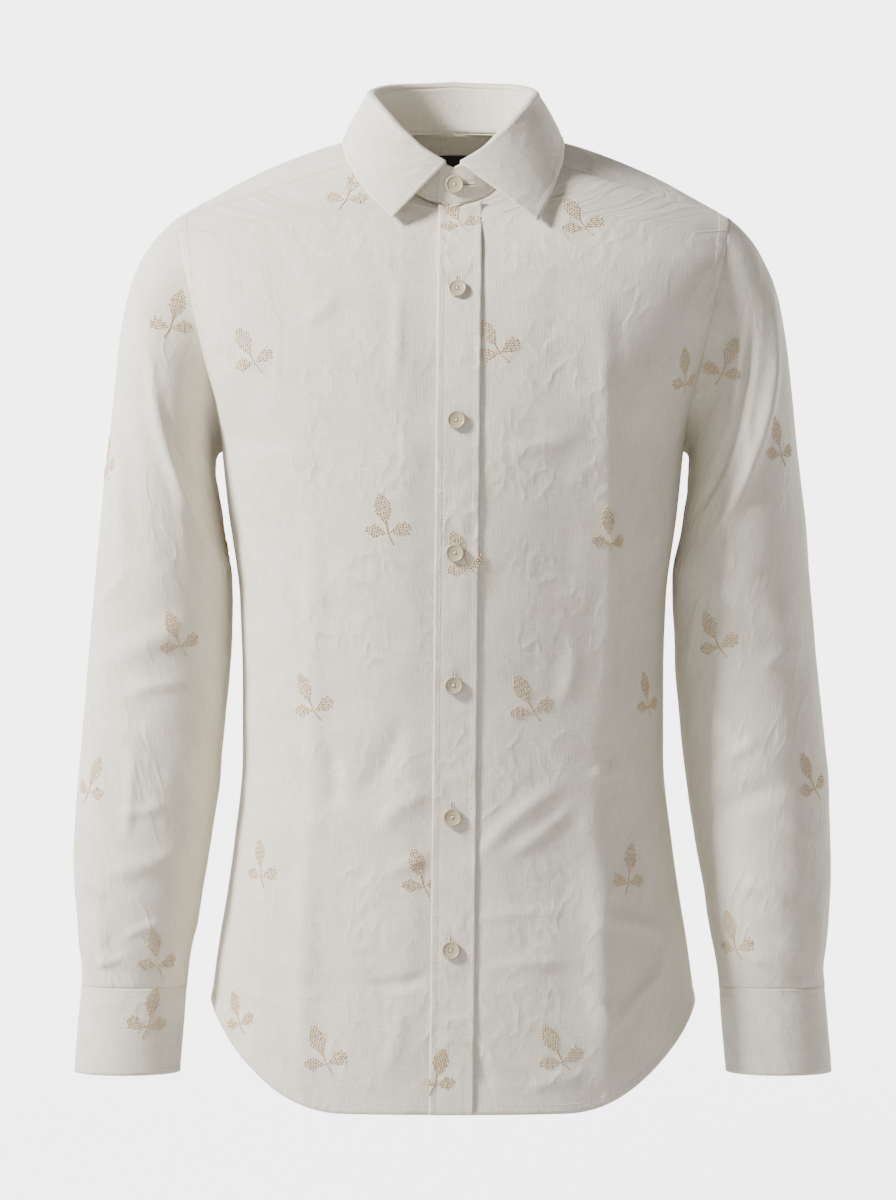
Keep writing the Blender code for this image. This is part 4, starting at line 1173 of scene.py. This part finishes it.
# A run of stitches along a line: centres at even steps of its length, each as long as the step less a gap.
def stitchRun(line, normals, pitch, length, lift=0.0):
    line = line + normals * lift
    walk = np.concatenate([[0], np.cumsum(np.linalg.norm(np.diff(line, axis=0), axis=1))])
    at = np.arange(pitch / 2, walk[-1], pitch)
    at = at + np.random.default_rng(len(line)).uniform(-0.12, 0.12, len(at)) * pitch
    read = lambda values, places: np.stack([np.interp(places, walk, values[:, k]) for k in range(3)], -1)
    centre = read(line, at)
    way = read(line, at + length / 2) - read(line, at - length / 2)
    way /= np.maximum(np.linalg.norm(way, axis=1, keepdims=True), 1e-9)
    up = read(normals, at)
    up /= np.linalg.norm(up, axis=1, keepdims=True)
    return centre, way, up, np.full(len(at), length)


# The line over a grid where the walk from one edge reaches a distance, with its normals.
def lineAt(sheet, distance, edge, grid=0):
    points, normals = sheet.grids[grid], sheet.normals[grid]
    if edge in ("left", "right"):
        points, normals = points.swapaxes(0, 1), normals.swapaxes(0, 1)
    if edge in ("last", "right"):
        points, normals = points[::-1], normals[::-1]
    walk = walked(points, 0)
    row = np.clip(np.argmax(walk >= distance, axis=0), 1, len(points) - 1)
    column = np.arange(points.shape[1])
    before, after = walk[row - 1, column], walk[row, column]
    t = np.clip((distance - before) / np.maximum(after - before, 1e-6), 0, 1)[:, None]
    mixed = [each[row - 1, column] * (1 - t) + each[row, column] * t for each in (points, normals)]
    return mixed[0], mixed[1]


# Part of a line, cut off at both ends by a length in mm.
def trimmed(line, start, end):
    walk = np.concatenate([[0], np.cumsum(np.linalg.norm(np.diff(line[0], axis=0), axis=1))])
    kept = (walk >= start) & (walk <= walk[-1] - end)
    return line[0][kept], line[1][kept]


sewing = {
    "pitch": 2.9,
    "length": 2.3,
    "size": (0.55, 0.22),
    "edge": 1.8,
    "cuffLines": (1.8, 6.5),
    "colour": (0.76, 0.70, 0.58),
    "roughness": 0.7,
}


# Every line of sewing with the name of its piece: a walk in from an edge, trimmed at its ends.
def seamLines():
    hem, band = body["hemFold"], body["bandWidth"]
    edge, inset = sewing["edge"], collar["stitchInset"]
    lines = []
    for name in ("frontRight", "frontLeft"):
        sheet = sheets[name]
        lines.append((name, trimmed(lineAt(sheet, hem, "first"), 26, 0)))
        armhole = lineAt(sheet, band, "right")
        high = armhole[0][:, 2] > cut["underarm"] + 12
        lines.append((name, (armhole[0][high], armhole[1][high])))
        low = lineAt(sheet, edge, "right")
        under = low[0][:, 2] < cut["underarm"]
        lines.append((name, (low[0][under], low[1][under])))
    back = sheets["back"]
    lines.append(("back", lineAt(back, hem, "first")))
    for way in ("left", "right"):
        armhole = lineAt(back, band, way)
        high = armhole[0][:, 2] > cut["underarm"] + 12
        lines.append(("back", (armhole[0][high], armhole[1][high])))
    for k in (0, 1):
        lines.append(("yoke", trimmed(lineAt(sheets["yoke"], edge, "first", k), 0, band)))
        lines.append(("yoke", trimmed(lineAt(sheets["yoke"], edge, "last", k), 12, band)))
        lines.append(("yoke", lineAt(sheets["yoke"], band, "right", k)))
    for way in ("left", "right"):
        lines.append(("placket", lineAt(sheets["placket"], 4.4, way)))
    fall = sheets["collarFall"]
    lines.append(("collarFall", trimmed(lineAt(fall, inset, "last"), inset, inset)))
    for way in ("left", "right"):
        front = lineAt(fall, inset, way)
        start = round(len(front[0]) * 0.42)
        lines.append(("collarFall", trimmed((front[0][start:], front[1][start:]), 0, inset)))
    stand = sheets["collarStand"]
    for way in ("first", "last"):
        lines.append(("collarStand", trimmed(lineAt(stand, edge, way), edge, edge)))
    for way in ("left", "right"):
        lines.append(("collarStand", trimmed(lineAt(stand, edge, way), edge, edge)))
    for side in ("Left", "Right"):
        cuff = sheets["cuff" + side]
        for inwards in sewing["cuffLines"]:
            lines.append(("cuff" + side, trimmed(lineAt(cuff, inwards, "first"), edge, edge)))
        lines.append(("cuff" + side, trimmed(lineAt(cuff, 5, "last"), 5, 5)))
        gauntlet = sheets["gauntlet" + side]
        for way in ("left", "right"):
            lines.append(("gauntlet" + side, trimmed(lineAt(gauntlet, edge, way), edge, 0)))
        for inwards in (edge, 26):
            lines.append(("gauntlet" + side, trimmed(lineAt(gauntlet, inwards, "first"), edge, edge)))
    return lines


# One mesh of stitches for each cut piece, from the runs along its lines.
def makeSewing():
    groups = {}
    for name, line in seamLines():
        groups.setdefault(name, []).append(stitchRun(*line, sewing["pitch"], sewing["length"], 0.05))
    stand = sheets["collarStand"]  # the two rows that hold the stand's inner edge, seen inside the back neck
    for inwards in (2.0, 4.5):
        line = lineAt(stand, inwards, "first")
        inner = (line[0] - line[1] * (cut["doubled"] + 0.05), -line[1])
        groups["collarStand"].append(stitchRun(*trimmed(inner, 60, 60), sewing["pitch"], sewing["length"]))
    for name, runs in groups.items():
        piece = stitchMesh("sewing" + name[0].upper() + name[1:], runs, sewing["size"], threadMaterial)
        trims[name] = [piece]


# A leaf sprig of short slanting stitches, in mm from where its three leaves meet. Each leaf has rows a
# step apart and columns a pitch apart, kept inside width / 2 * sin(pi * t ^ 1.35) ^ 0.6.
sprig = {
    "leaves": [
        # way in degrees, start, length, width
        (110, 8.0, 31.0, 12.5),
        (178, 2.5, 18.0, 10.5),
        (24, 2.5, 18.5, 11.5),
    ],
    "neck": (108, 9.0),
    "step": 2.05,
    "pitch": 2.3,
    "slant": 38,
    "length": 2.35,
    "size": (1.2, 0.85),
    "stem": (-55, 9.0),
    # light is the painted highlight along each stitch's crest, dark the painted shade where it meets the
    # cloth.
    "light": (0.79, 0.60, 0.34, 1.0),
    "dark": (0.34, 0.22, 0.10, 1.0),
    "roughness": 0.5,
}


# Flat centres and directions of the stitches of a sprig: leaf by leaf, then its neck and stem.
def sprigStitches():
    centres, ways = [], []
    for way, start, length, width in sprig["leaves"]:
        rows = np.arange(start, length, sprig["step"])
        along, column = np.meshgrid(rows, np.arange(-4, 5), indexing="ij")
        aside = (column + 0.5 * (np.arange(len(rows)) % 2)[:, None]) * sprig["pitch"]
        t = np.clip((along - start + 1) / (length - start + 1), 0, 1)
        kept = np.abs(aside) <= width / 2 * np.sin(math.pi * t**1.35) ** 0.6
        turn = math.radians(way)
        ahead = np.array([math.cos(turn), math.sin(turn)])
        across = np.array([-ahead[1], ahead[0]])
        centres.append(along[kept][:, None] * ahead + aside[kept][:, None] * across)
        odd = np.arange(len(rows))[:, None] % 2 + column * 0
        lean = np.radians(sprig["slant"]) * np.where(odd[kept] > 0, 1, -1)
        ways.append(turn + lean)
    for way, length in (sprig["neck"], sprig["stem"]):
        turn = math.radians(way)
        spots = np.arange(0.5, length, 2.1)
        centres.append(spots[:, None] * np.array([math.cos(turn), math.sin(turn)]))
        ways.append(np.full(len(spots), turn))
    return np.concatenate(centres), np.concatenate(ways)


# Lays a sprig on a sheet: its flat places go into the tangent plane at the nearest grid point to (x, z) on
# that face, then each stitch drops along the normal of the grid point nearest to it. Off the cloth it ends.
def laySprig(sheet, x, z, face, lean, size, mirror, clear=None):
    best = None
    for points, normals in zip(sheet.grids, sheet.normals):
        facing = normals[..., 1] * face > 0.02
        apart = np.where(facing, np.hypot(points[..., 0] - x, points[..., 2] - z), 1e9)
        if best is None or apart.min() < best[0]:
            best = (apart.min(), np.unravel_index(apart.argmin(), apart.shape), points, normals)
    _, (row, column), points, normals = best
    centre, up = points[row, column], normals[row, column]
    upright = np.array([0, 0, 1.0]) - up * up[2]
    upright /= np.linalg.norm(upright)
    aside = np.cross(upright, up)
    flat, ways = sprigStitches()
    turn = math.radians(lean)
    spin = np.array([[math.cos(turn), math.sin(turn)], [-math.sin(turn), math.cos(turn)]])
    flat = flat @ spin * size
    ways = ways + turn
    if mirror:
        flat = flat * [-1, 1]
        ways = math.pi - ways
    jitter = np.random.default_rng(round(abs(x) * 7 + abs(z)))
    ways = ways + jitter.uniform(-0.18, 0.18, len(ways))
    flat = flat + jitter.uniform(-0.22, 0.22, flat.shape)
    near = np.linalg.norm(points - centre, axis=-1) < 45
    ground, over = points[near], normals[near]
    spots = centre + flat[:, :1] * aside + flat[:, 1:] * upright
    apart = np.linalg.norm(spots[:, None] - ground[None], axis=-1)
    nearest = apart.argmin(1)
    base, normal = ground[nearest], over[nearest]
    offset = np.sum((spots - base) * normal, axis=1, keepdims=True)
    landed = spots - offset * normal
    kept = np.linalg.norm(landed - base, axis=1) < 2.4
    if clear is not None:
        kept &= clear(landed)
    along = np.cos(ways)[:, None] * aside + np.sin(ways)[:, None] * upright
    lengths = np.full(len(flat), sprig["length"]) * jitter.uniform(0.85, 1.1, len(flat))
    return landed[kept], along[kept], normal[kept], lengths[kept]


# Sprigs by cut piece: x, z in mm as seen from that face, lean, size, and 1 where it is mirrored.
frontSprigs = [
    (-85, -50, -8, 1.0, 1),
    (-156, -180, 8, 1.0, 0),
    (-51, -312, -8, 1.0, 0),
    (-108, -450, 4, 1.0, 0),
    (-150, -582, -8, 0.95, 0),
    (-24, -586, -4, 0.95, 0),
    (-98, -722, 2, 1.0, 0),
    (-166, -695, 6, 0.9, 0),
    (104, -72, 4, 1.0, 0),
    (37, -173, 10, 1.0, 0),
    (122, -320, -12, 0.95, 0),
    (61, -449, 6, 1.0, 0),
    (154, -450, -4, 0.95, 0),
    (136, -584, -8, 1.0, 1),
    (85, -718, 6, 1.0, 0),
    (182, -194, 0, 1.0, 0),
]
placketSprigs = [(6, -72, 6, 0.95, 0), (13, -340, 8, 1.0, 0), (-14, -738, -6, 0.9, 1)]
backSprigs = [
    (-70, -150, 6, 1.0, 0),
    (40, -120, -8, 1.0, 1),
    (140, -190, 4, 1.0, 0),
    (-150, -235, -6, 1.0, 0),
    (-15, -262, 8, 1.0, 0),
    (92, -300, -4, 1.0, 1),
    (-98, -368, 4, 1.0, 0),
    (20, -402, -8, 1.0, 0),
    (138, -436, 6, 1.0, 0),
    (-150, -498, -4, 1.0, 1),
    (-45, -520, 6, 1.0, 0),
    (68, -548, -6, 1.0, 0),
    (-112, -632, 6, 1.0, 0),
    (0, -662, -8, 1.0, 1),
    (120, -652, 4, 1.0, 0),
    (56, -728, 6, 1.0, 0),
]
yokeSprigs = [(-120, -30, 6, 0.95, 0), (75, -20, -6, 0.95, 1), (0, -55, 4, 0.95, 0), (165, -62, 6, 0.95, 0)]
rightSleeveSprigs = [
    (-222, -150, -4, 1.0, 1),
    (-275, -262, 4, 1.0, 0),
    (-214, -402, 4, 1.0, 0),
    (-288, -516, 2, 1.0, 1),
    (-232, -652, -8, 1.0, 0),
    (-178, -325, 0, 0.8, 0),
]
leftSleeveSprigs = [
    (212, -186, 4, 1.0, 1),
    (258, -250, -4, 1.0, 0),
    (209, -400, 6, 1.0, 0),
    (286, -514, 6, 1.0, 0),
    (222, -640, -4, 1.0, 0),
]
rearSleeveSprigs = [
    (235, -165, 4, 1.0, 0),
    (212, -300, -6, 1.0, 1),
    (258, -400, 6, 1.0, 0),
    (222, -520, -4, 1.0, 0),
]


# True for a place beyond the placket's edge.
def offPlacket(landed):
    return np.abs(landed[:, 0] - placketX(landed[:, 2])) > placketCut["halfWidth"] + 0.8


# One mesh of sprig stitches for each cut piece.
def makeSprigs():
    groups = []
    for x, z, lean, size, mirror in frontSprigs:
        side = "frontRight" if x < 0 else "frontLeft"
        groups.append((side, laySprig(sheets[side], x, z, -1, lean, size, mirror, offPlacket)))
    for row in placketSprigs:
        groups.append(("placket", laySprig(sheets["placket"], *row[:2], -1, *row[2:])))
    for row in backSprigs:
        groups.append(("back", laySprig(sheets["back"], *row[:2], 1, *row[2:])))
    for row in yokeSprigs:
        groups.append(("yoke", laySprig(sheets["yoke"], *row[:2], 1, *row[2:])))
    for name, rows in (("sleeveRight", rightSleeveSprigs), ("sleeveLeft", leftSleeveSprigs)):
        for row in rows:
            groups.append((name, laySprig(sheets[name], *row[:2], -1, *row[2:])))
        side = 1 if name == "sleeveLeft" else -1
        for row in rearSleeveSprigs:
            groups.append((name, laySprig(sheets[name], row[0] * side, row[1], 1, *row[2:])))
    groups.append(("cuffRight", laySprig(sheets["cuffRight"], -240, -698, -1, -6, 1.0, 1)))
    groups.append(("cuffLeft", laySprig(sheets["cuffLeft"], 262, -700, 1, 6, 0.95, 0)))
    byName = {}
    for name, run in groups:
        if len(run[0]):
            byName.setdefault(name, []).append(run)
    for name, runs in byName.items():
        piece = stitchMesh("sprigs" + name[0].upper() + name[1:], runs, sprig["size"], silkMaterial)
        trims.setdefault(name, []).append(piece)


# Buttons: turned discs with a raised rim, a dished middle and four holes, crossed by thread.
buttonCut = {
    "radius": 7.2,
    "thickness": 2.6,
    "holes": 1.55,
    "holeRadius": 0.85,
    "holeDepth": 1.1,
    "rings": 26,
    "turns": 64,
    "colour": (0.47, 0.39, 0.25),
    "roughness": 0.32,
    "standTurn": 1.0,
    "standRise": 0.55,
    "first": -123.5,
    "spacing": 102.1,
    "count": 6,
    "shift": -1.5,
    "threadAt": 0.66,
    "threadLength": 3.9,
    "threadSize": (0.8, 0.45),
    "slit": 12.0,
    "slitShort": 7.0,
    "slitStep": 0.75,
    # Size of the dark strip of painted shade along each buttonhole's cut.
    "slitShadowSize": (0.5, 0.12),
    "levelShift": -3.5,
    "holeRow": 1.05,
    "holeStitch": 1.7,
    "holeSize": (0.62, 0.3),
}


# Face height by radius r: rim 1, a step down to 0.72, a small inner bead, less a soft pit at each hole.
def buttonFace(r, turn):
    share = r / buttonCut["radius"]
    keys = np.array([0, 0.5, 0.62, 0.7, 0.8, 0.9, 0.97, 1.0])
    heights = np.array([0.62, 0.7, 0.76, 0.76, 0.98, 1.0, 0.93, 0.78])
    height = smooth(keys, heights, share) * buttonCut["thickness"]
    for k in range(4):
        hole = math.radians(45 + 90 * k)
        apart = np.hypot(
            r * np.cos(turn) - buttonCut["holes"] * math.cos(hole),
            r * np.sin(turn) - buttonCut["holes"] * math.sin(hole),
        )
        height = height - buttonCut["holeDepth"] * (1 - ease(0.55, 1.05, apart / buttonCut["holeRadius"]))
    return height


# The disc as one grid: rings over the face, two down the side and two over the back, closed at both poles.
def buttonDisc():
    turn = np.arange(buttonCut["turns"]) * 2 * math.pi / buttonCut["turns"]
    radius = buttonCut["radius"]
    inner = np.linspace(0.03, 0.45, 16) * radius
    outer = np.linspace(0.48, 1.0, buttonCut["rings"] - 16) * radius
    face = np.concatenate([inner, outer])
    r, angle = np.meshgrid(face, turn, indexing="ij")
    top = stack(r * np.cos(angle), r * np.sin(angle), buttonFace(r, angle))
    lower = []
    for share, height in ((1.0, 0.4), (0.93, 0.12), (0.8, 0.0), (0.03, 0.0)):
        reach = radius * share
        lower.append(stack(reach * np.cos(turn), reach * np.sin(turn), height * buttonCut["thickness"]))
    rings = np.concatenate([top, np.array(lower)])
    return np.concatenate([rings, rings[:, :1]], axis=1)


# Each button's name, the place and normal of the cloth face that it is sewn to, and its buttonhole: upright
# where True, level where False, and none where None.
def buttonSpots():
    spots = []
    turn = np.array([buttonCut["standTurn"]])
    place = standPoint(turn, np.array([buttonCut["standRise"]]))
    spots.append(("button_1", place[0], neckNormal(turn)[0], False))
    for k in range(buttonCut["count"]):
        z = buttonCut["first"] - buttonCut["spacing"] * k
        x = placketX(z) + buttonCut["shift"]
        place, normal = nearestOn(sheets["placket"], x, z)
        spots.append((f"button_{k + 2}", place, normal, True))
    for side, name in ((1, "cuff_button_left"), (-1, "cuff_button_right")):
        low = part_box(name)
        middle = (np.array(low[0]) + np.array(low[1])) / 2 / metre
        cuff = sheets["cuffLeft" if side > 0 else "cuffRight"]
        apart = np.linalg.norm(cuff.grids[0] - middle, axis=-1)
        at = np.unravel_index(apart.argmin(), apart.shape)
        spots.append((name, cuff.grids[0][at], cuff.normals[0][at], None))
    return spots


# The place at x and z on the tangent plane of the nearest grid point, and its normal.
def nearestOn(sheet, x, z):
    points = sheet.grids[0]
    apart = np.hypot(points[..., 0] - x, points[..., 2] - z)
    at = np.unravel_index(apart.argmin(), apart.shape)
    near = points[at]
    normal = sheet.normals[0][at]
    y = near[1] - (normal[0] * (x - near[0]) + normal[2] * (z - near[2])) / normal[1]
    return np.array([x, y, z]), normal


# A disc for each button, its crossed thread, and its buttonhole's slit between two sewn rows, drawn as a dark
# strip of painted shade.
def makeButtons():
    disc = buttonDisc()
    threadRuns, holeRuns, slitShadowRuns = [], [], []
    for name, place, normal, upright in buttonSpots():
        side = np.cross((0, 0, 1.0), normal)
        side /= np.linalg.norm(side)
        axes = np.array([side, np.cross(normal, side), normal])
        seat = place + normal * cut["layerGap"]
        points = seat + disc @ axes
        piece = makePiece(name + "Horn", points.reshape(-1, 3), discFaces(disc), hornMaterial)
        closePoles(piece)
        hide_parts(name)
        height = buttonCut["thickness"] * buttonCut["threadAt"]
        centre = seat + normal * height
        for slant in (math.pi / 4, -math.pi / 4):
            way = axes[0] * math.cos(slant) + axes[1] * math.sin(slant)
            threadRuns.append((centre[None], way[None], normal[None], np.array([buttonCut["threadLength"]])))
        if upright is not None:
            along = axes[1] if upright else axes[0]
            across = np.cross(normal, along)
            shift = buttonCut["levelShift"] if upright is False else 0.0
            low = -buttonCut["slit"] + buttonCut["slitShort"]
            at = np.arange(low, buttonCut["slit"], buttonCut["slitStep"]) - shift
            count = len(at)
            up = np.tile(normal, (count, 1))
            # A dark strip of painted shade along the cut, between the two sewn rows.
            slitShadows = place + at[:, None] * along + normal * 0.1
            slitShadowRuns.append((slitShadows, np.tile(along, (count, 1)), up, np.ones(count)))
            for row in (-buttonCut["holeRow"], buttonCut["holeRow"]):
                spots = place + at[:, None] * along + across * row + normal * 0.05
                lengths = np.full(count, buttonCut["holeStitch"])
                holeRuns.append((spots, np.tile(across, (count, 1)), up, lengths))
    crossed = stitchMesh("buttonThread", threadRuns, buttonCut["threadSize"], threadMaterial)
    holes = stitchMesh("buttonholes", holeRuns, buttonCut["holeSize"], threadMaterial)
    slitShadows = stitchMesh("buttonholeSlitShadows", slitShadowRuns, buttonCut["slitShadowSize"], slitShadowMaterial)


# Quads between the rings of a disc, its last column joined to its first.
def discFaces(disc):
    rows, columns = disc.shape[0], disc.shape[1] - 1
    index = np.arange(rows * (columns + 1)).reshape(rows, columns + 1)
    index[:, -1] = index[:, 0]
    quads = np.stack([index[:-1, :-1], index[1:, :-1], index[1:, 1:], index[:-1, 1:]], -1)
    return quads.reshape(-1, 4)


# Fills the two small open rings at the poles of a disc and drops its unused column of points.
def closePoles(piece):
    work = bmesh.new()
    work.from_mesh(piece.data)
    bmesh.ops.delete(work, geom=[v for v in work.verts if not v.link_faces], context="VERTS")
    bmesh.ops.holes_fill(work, edges=[e for e in work.edges if e.is_boundary], sides=0)
    bmesh.ops.recalc_face_normals(work, faces=work.faces)
    work.to_mesh(piece.data)
    work.free()
    piece.data.shade_smooth()


linenMaterial = makeLinen("linen")
labelMaterial = plainMaterial("labelCloth", (0.012, 0.012, 0.013), 0.7)
floorMaterial = makeBackdrop("floor")
threadMaterial = plainMaterial("thread", sewing["colour"], sewing["roughness"])
silkMaterial = makeSilk("silk")
# The buttonhole's cut: a dark strip of painted shade.
slitShadowMaterial = plainMaterial("slit", (0.16, 0.12, 0.07), 0.9)
hornMaterial = plainMaterial("horn", buttonCut["colour"], buttonCut["roughness"])

nodeOf = {
    "frontRight": "front_right",
    "frontLeft": "front_left",
    "back": "back",
    "yoke": "yoke",
    "sleeveRight": "sleeve_right",
    "sleeveLeft": "sleeve_left",
    "cuffRight": "cuff_right",
    "cuffLeft": "cuff_left",
    "gauntletRight": "gauntlet_right",
    "gauntletLeft": "gauntlet_left",
    "placket": "placket",
    "collarStand": "collar_stand",
    "collarFall": "collar_fall",
    "neckLabel": "neck_label",
}
bodySheets = [frontSheet(-1), frontSheet(1), backSheet(), yokeSheet(), placketSheet()]
sheets = {sheet.name: sheet for sheet in bodySheets}
for side in (-1, 1):
    for sheet in (sleeveSheet(side), cuffSheet(side), gauntletSheet(side)):
        sheets[sheet.name] = sheet
for sheet in (standSheet(), fallSheet(), labelSheet()):
    sheets[sheet.name] = sheet
print("sheets shaped")

for name, sheet in sheets.items():
    piece = makeWall(sheet, labelMaterial if name == "neckLabel" else linenMaterial)
    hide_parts(nodeOf[name])
    "label" if name == "neckLabel" else "linen"

trims = {}  # the sewing and sprigs that lie on each piece of cloth
makeSewing()
makeSprigs()
print("sewing and sprigs made")
makeButtons()
print("buttons made")
# Camera where the photograph was taken from, a strong light from the upper left and a weak one in front.
camera = bpy.data.cameras.new("camera")
camera.lens = 120.0
camera.sensor_fit = "VERTICAL"
camera.sensor_height = 36.0
cameraObject = bpy.data.objects.new("camera", camera)
cameraObject.location = (-0.004, -3.2, -0.364)
cameraObject.rotation_euler = (math.pi / 2, 0, 0)
bpy.context.scene.collection.objects.link(cameraObject)
bpy.context.scene.camera = cameraObject

lights = [
    # name, place, aimed at, size, watts
    ("key", (-2.05, -0.95, 1.15), (0.0, 0.0, -0.1), 0.5, 218.0),
    ("fill", (0.2, -3.9, 0.9), (0.0, 0.0, -0.25), 1.6, 9.0),
]


# An area light at a place, turned so that it shines towards its aim.
def addLight(name, place, aim, size, watts):
    data = bpy.data.lights.new(name, "AREA")
    data.size = size
    data.energy = watts
    light = bpy.data.objects.new(name, data)
    light.location = place
    way = np.array(aim) - np.array(place)
    light.rotation_euler = (math.atan2(math.hypot(way[0], way[1]), -way[2]), 0, math.atan2(-way[0], way[1]))
    bpy.context.scene.collection.objects.link(light)


for row in lights:
    addLight(*row)

world = bpy.data.worlds.new("studio")
world.use_nodes = True
world.node_tree.nodes["Background"].inputs["Color"].default_value = (1.0, 0.92, 0.82, 1.0)
world.node_tree.nodes["Background"].inputs["Strength"].default_value = 0.04
bpy.context.scene.world = world

# A round room: level floor, a quarter circle, then an upright wall, all turned about the upright axis.
def makeStage():
    bend = np.linspace(0, math.pi / 2, 12)
    flat = stage["radius"] - stage["curve"]
    radius = np.concatenate([[0.6, 1.2, 2.4], flat + stage["curve"] * np.sin(bend), [stage["radius"]]])
    rise = stage["floor"] + stage["curve"] * (1 - np.cos(bend))
    z = np.concatenate([[stage["floor"]] * 3, rise, [stage["top"]]])
    turn = np.arange(stage["sides"]) * 2 * math.pi / stage["sides"]
    points = stack(radius[:, None] * np.cos(turn), radius[:, None] * np.sin(turn), z[:, None])
    index = np.arange(points.size // 3).reshape(len(radius), -1)
    after = np.roll(index, -1, axis=1)
    quads = np.stack([index[:-1], index[1:], after[1:], after[:-1]], -1).reshape(-1, 4)
    mesh = bpy.data.meshes.new("floor")
    mesh.from_pydata(points.reshape(-1, 3).tolist(), [], quads.tolist() + [index[0].tolist()])
    mesh.shade_smooth()
    mesh.materials.append(floorMaterial)
    floor = bpy.data.objects.new("floor", mesh)
    bpy.context.scene.collection.objects.link(floor)


makeStage()
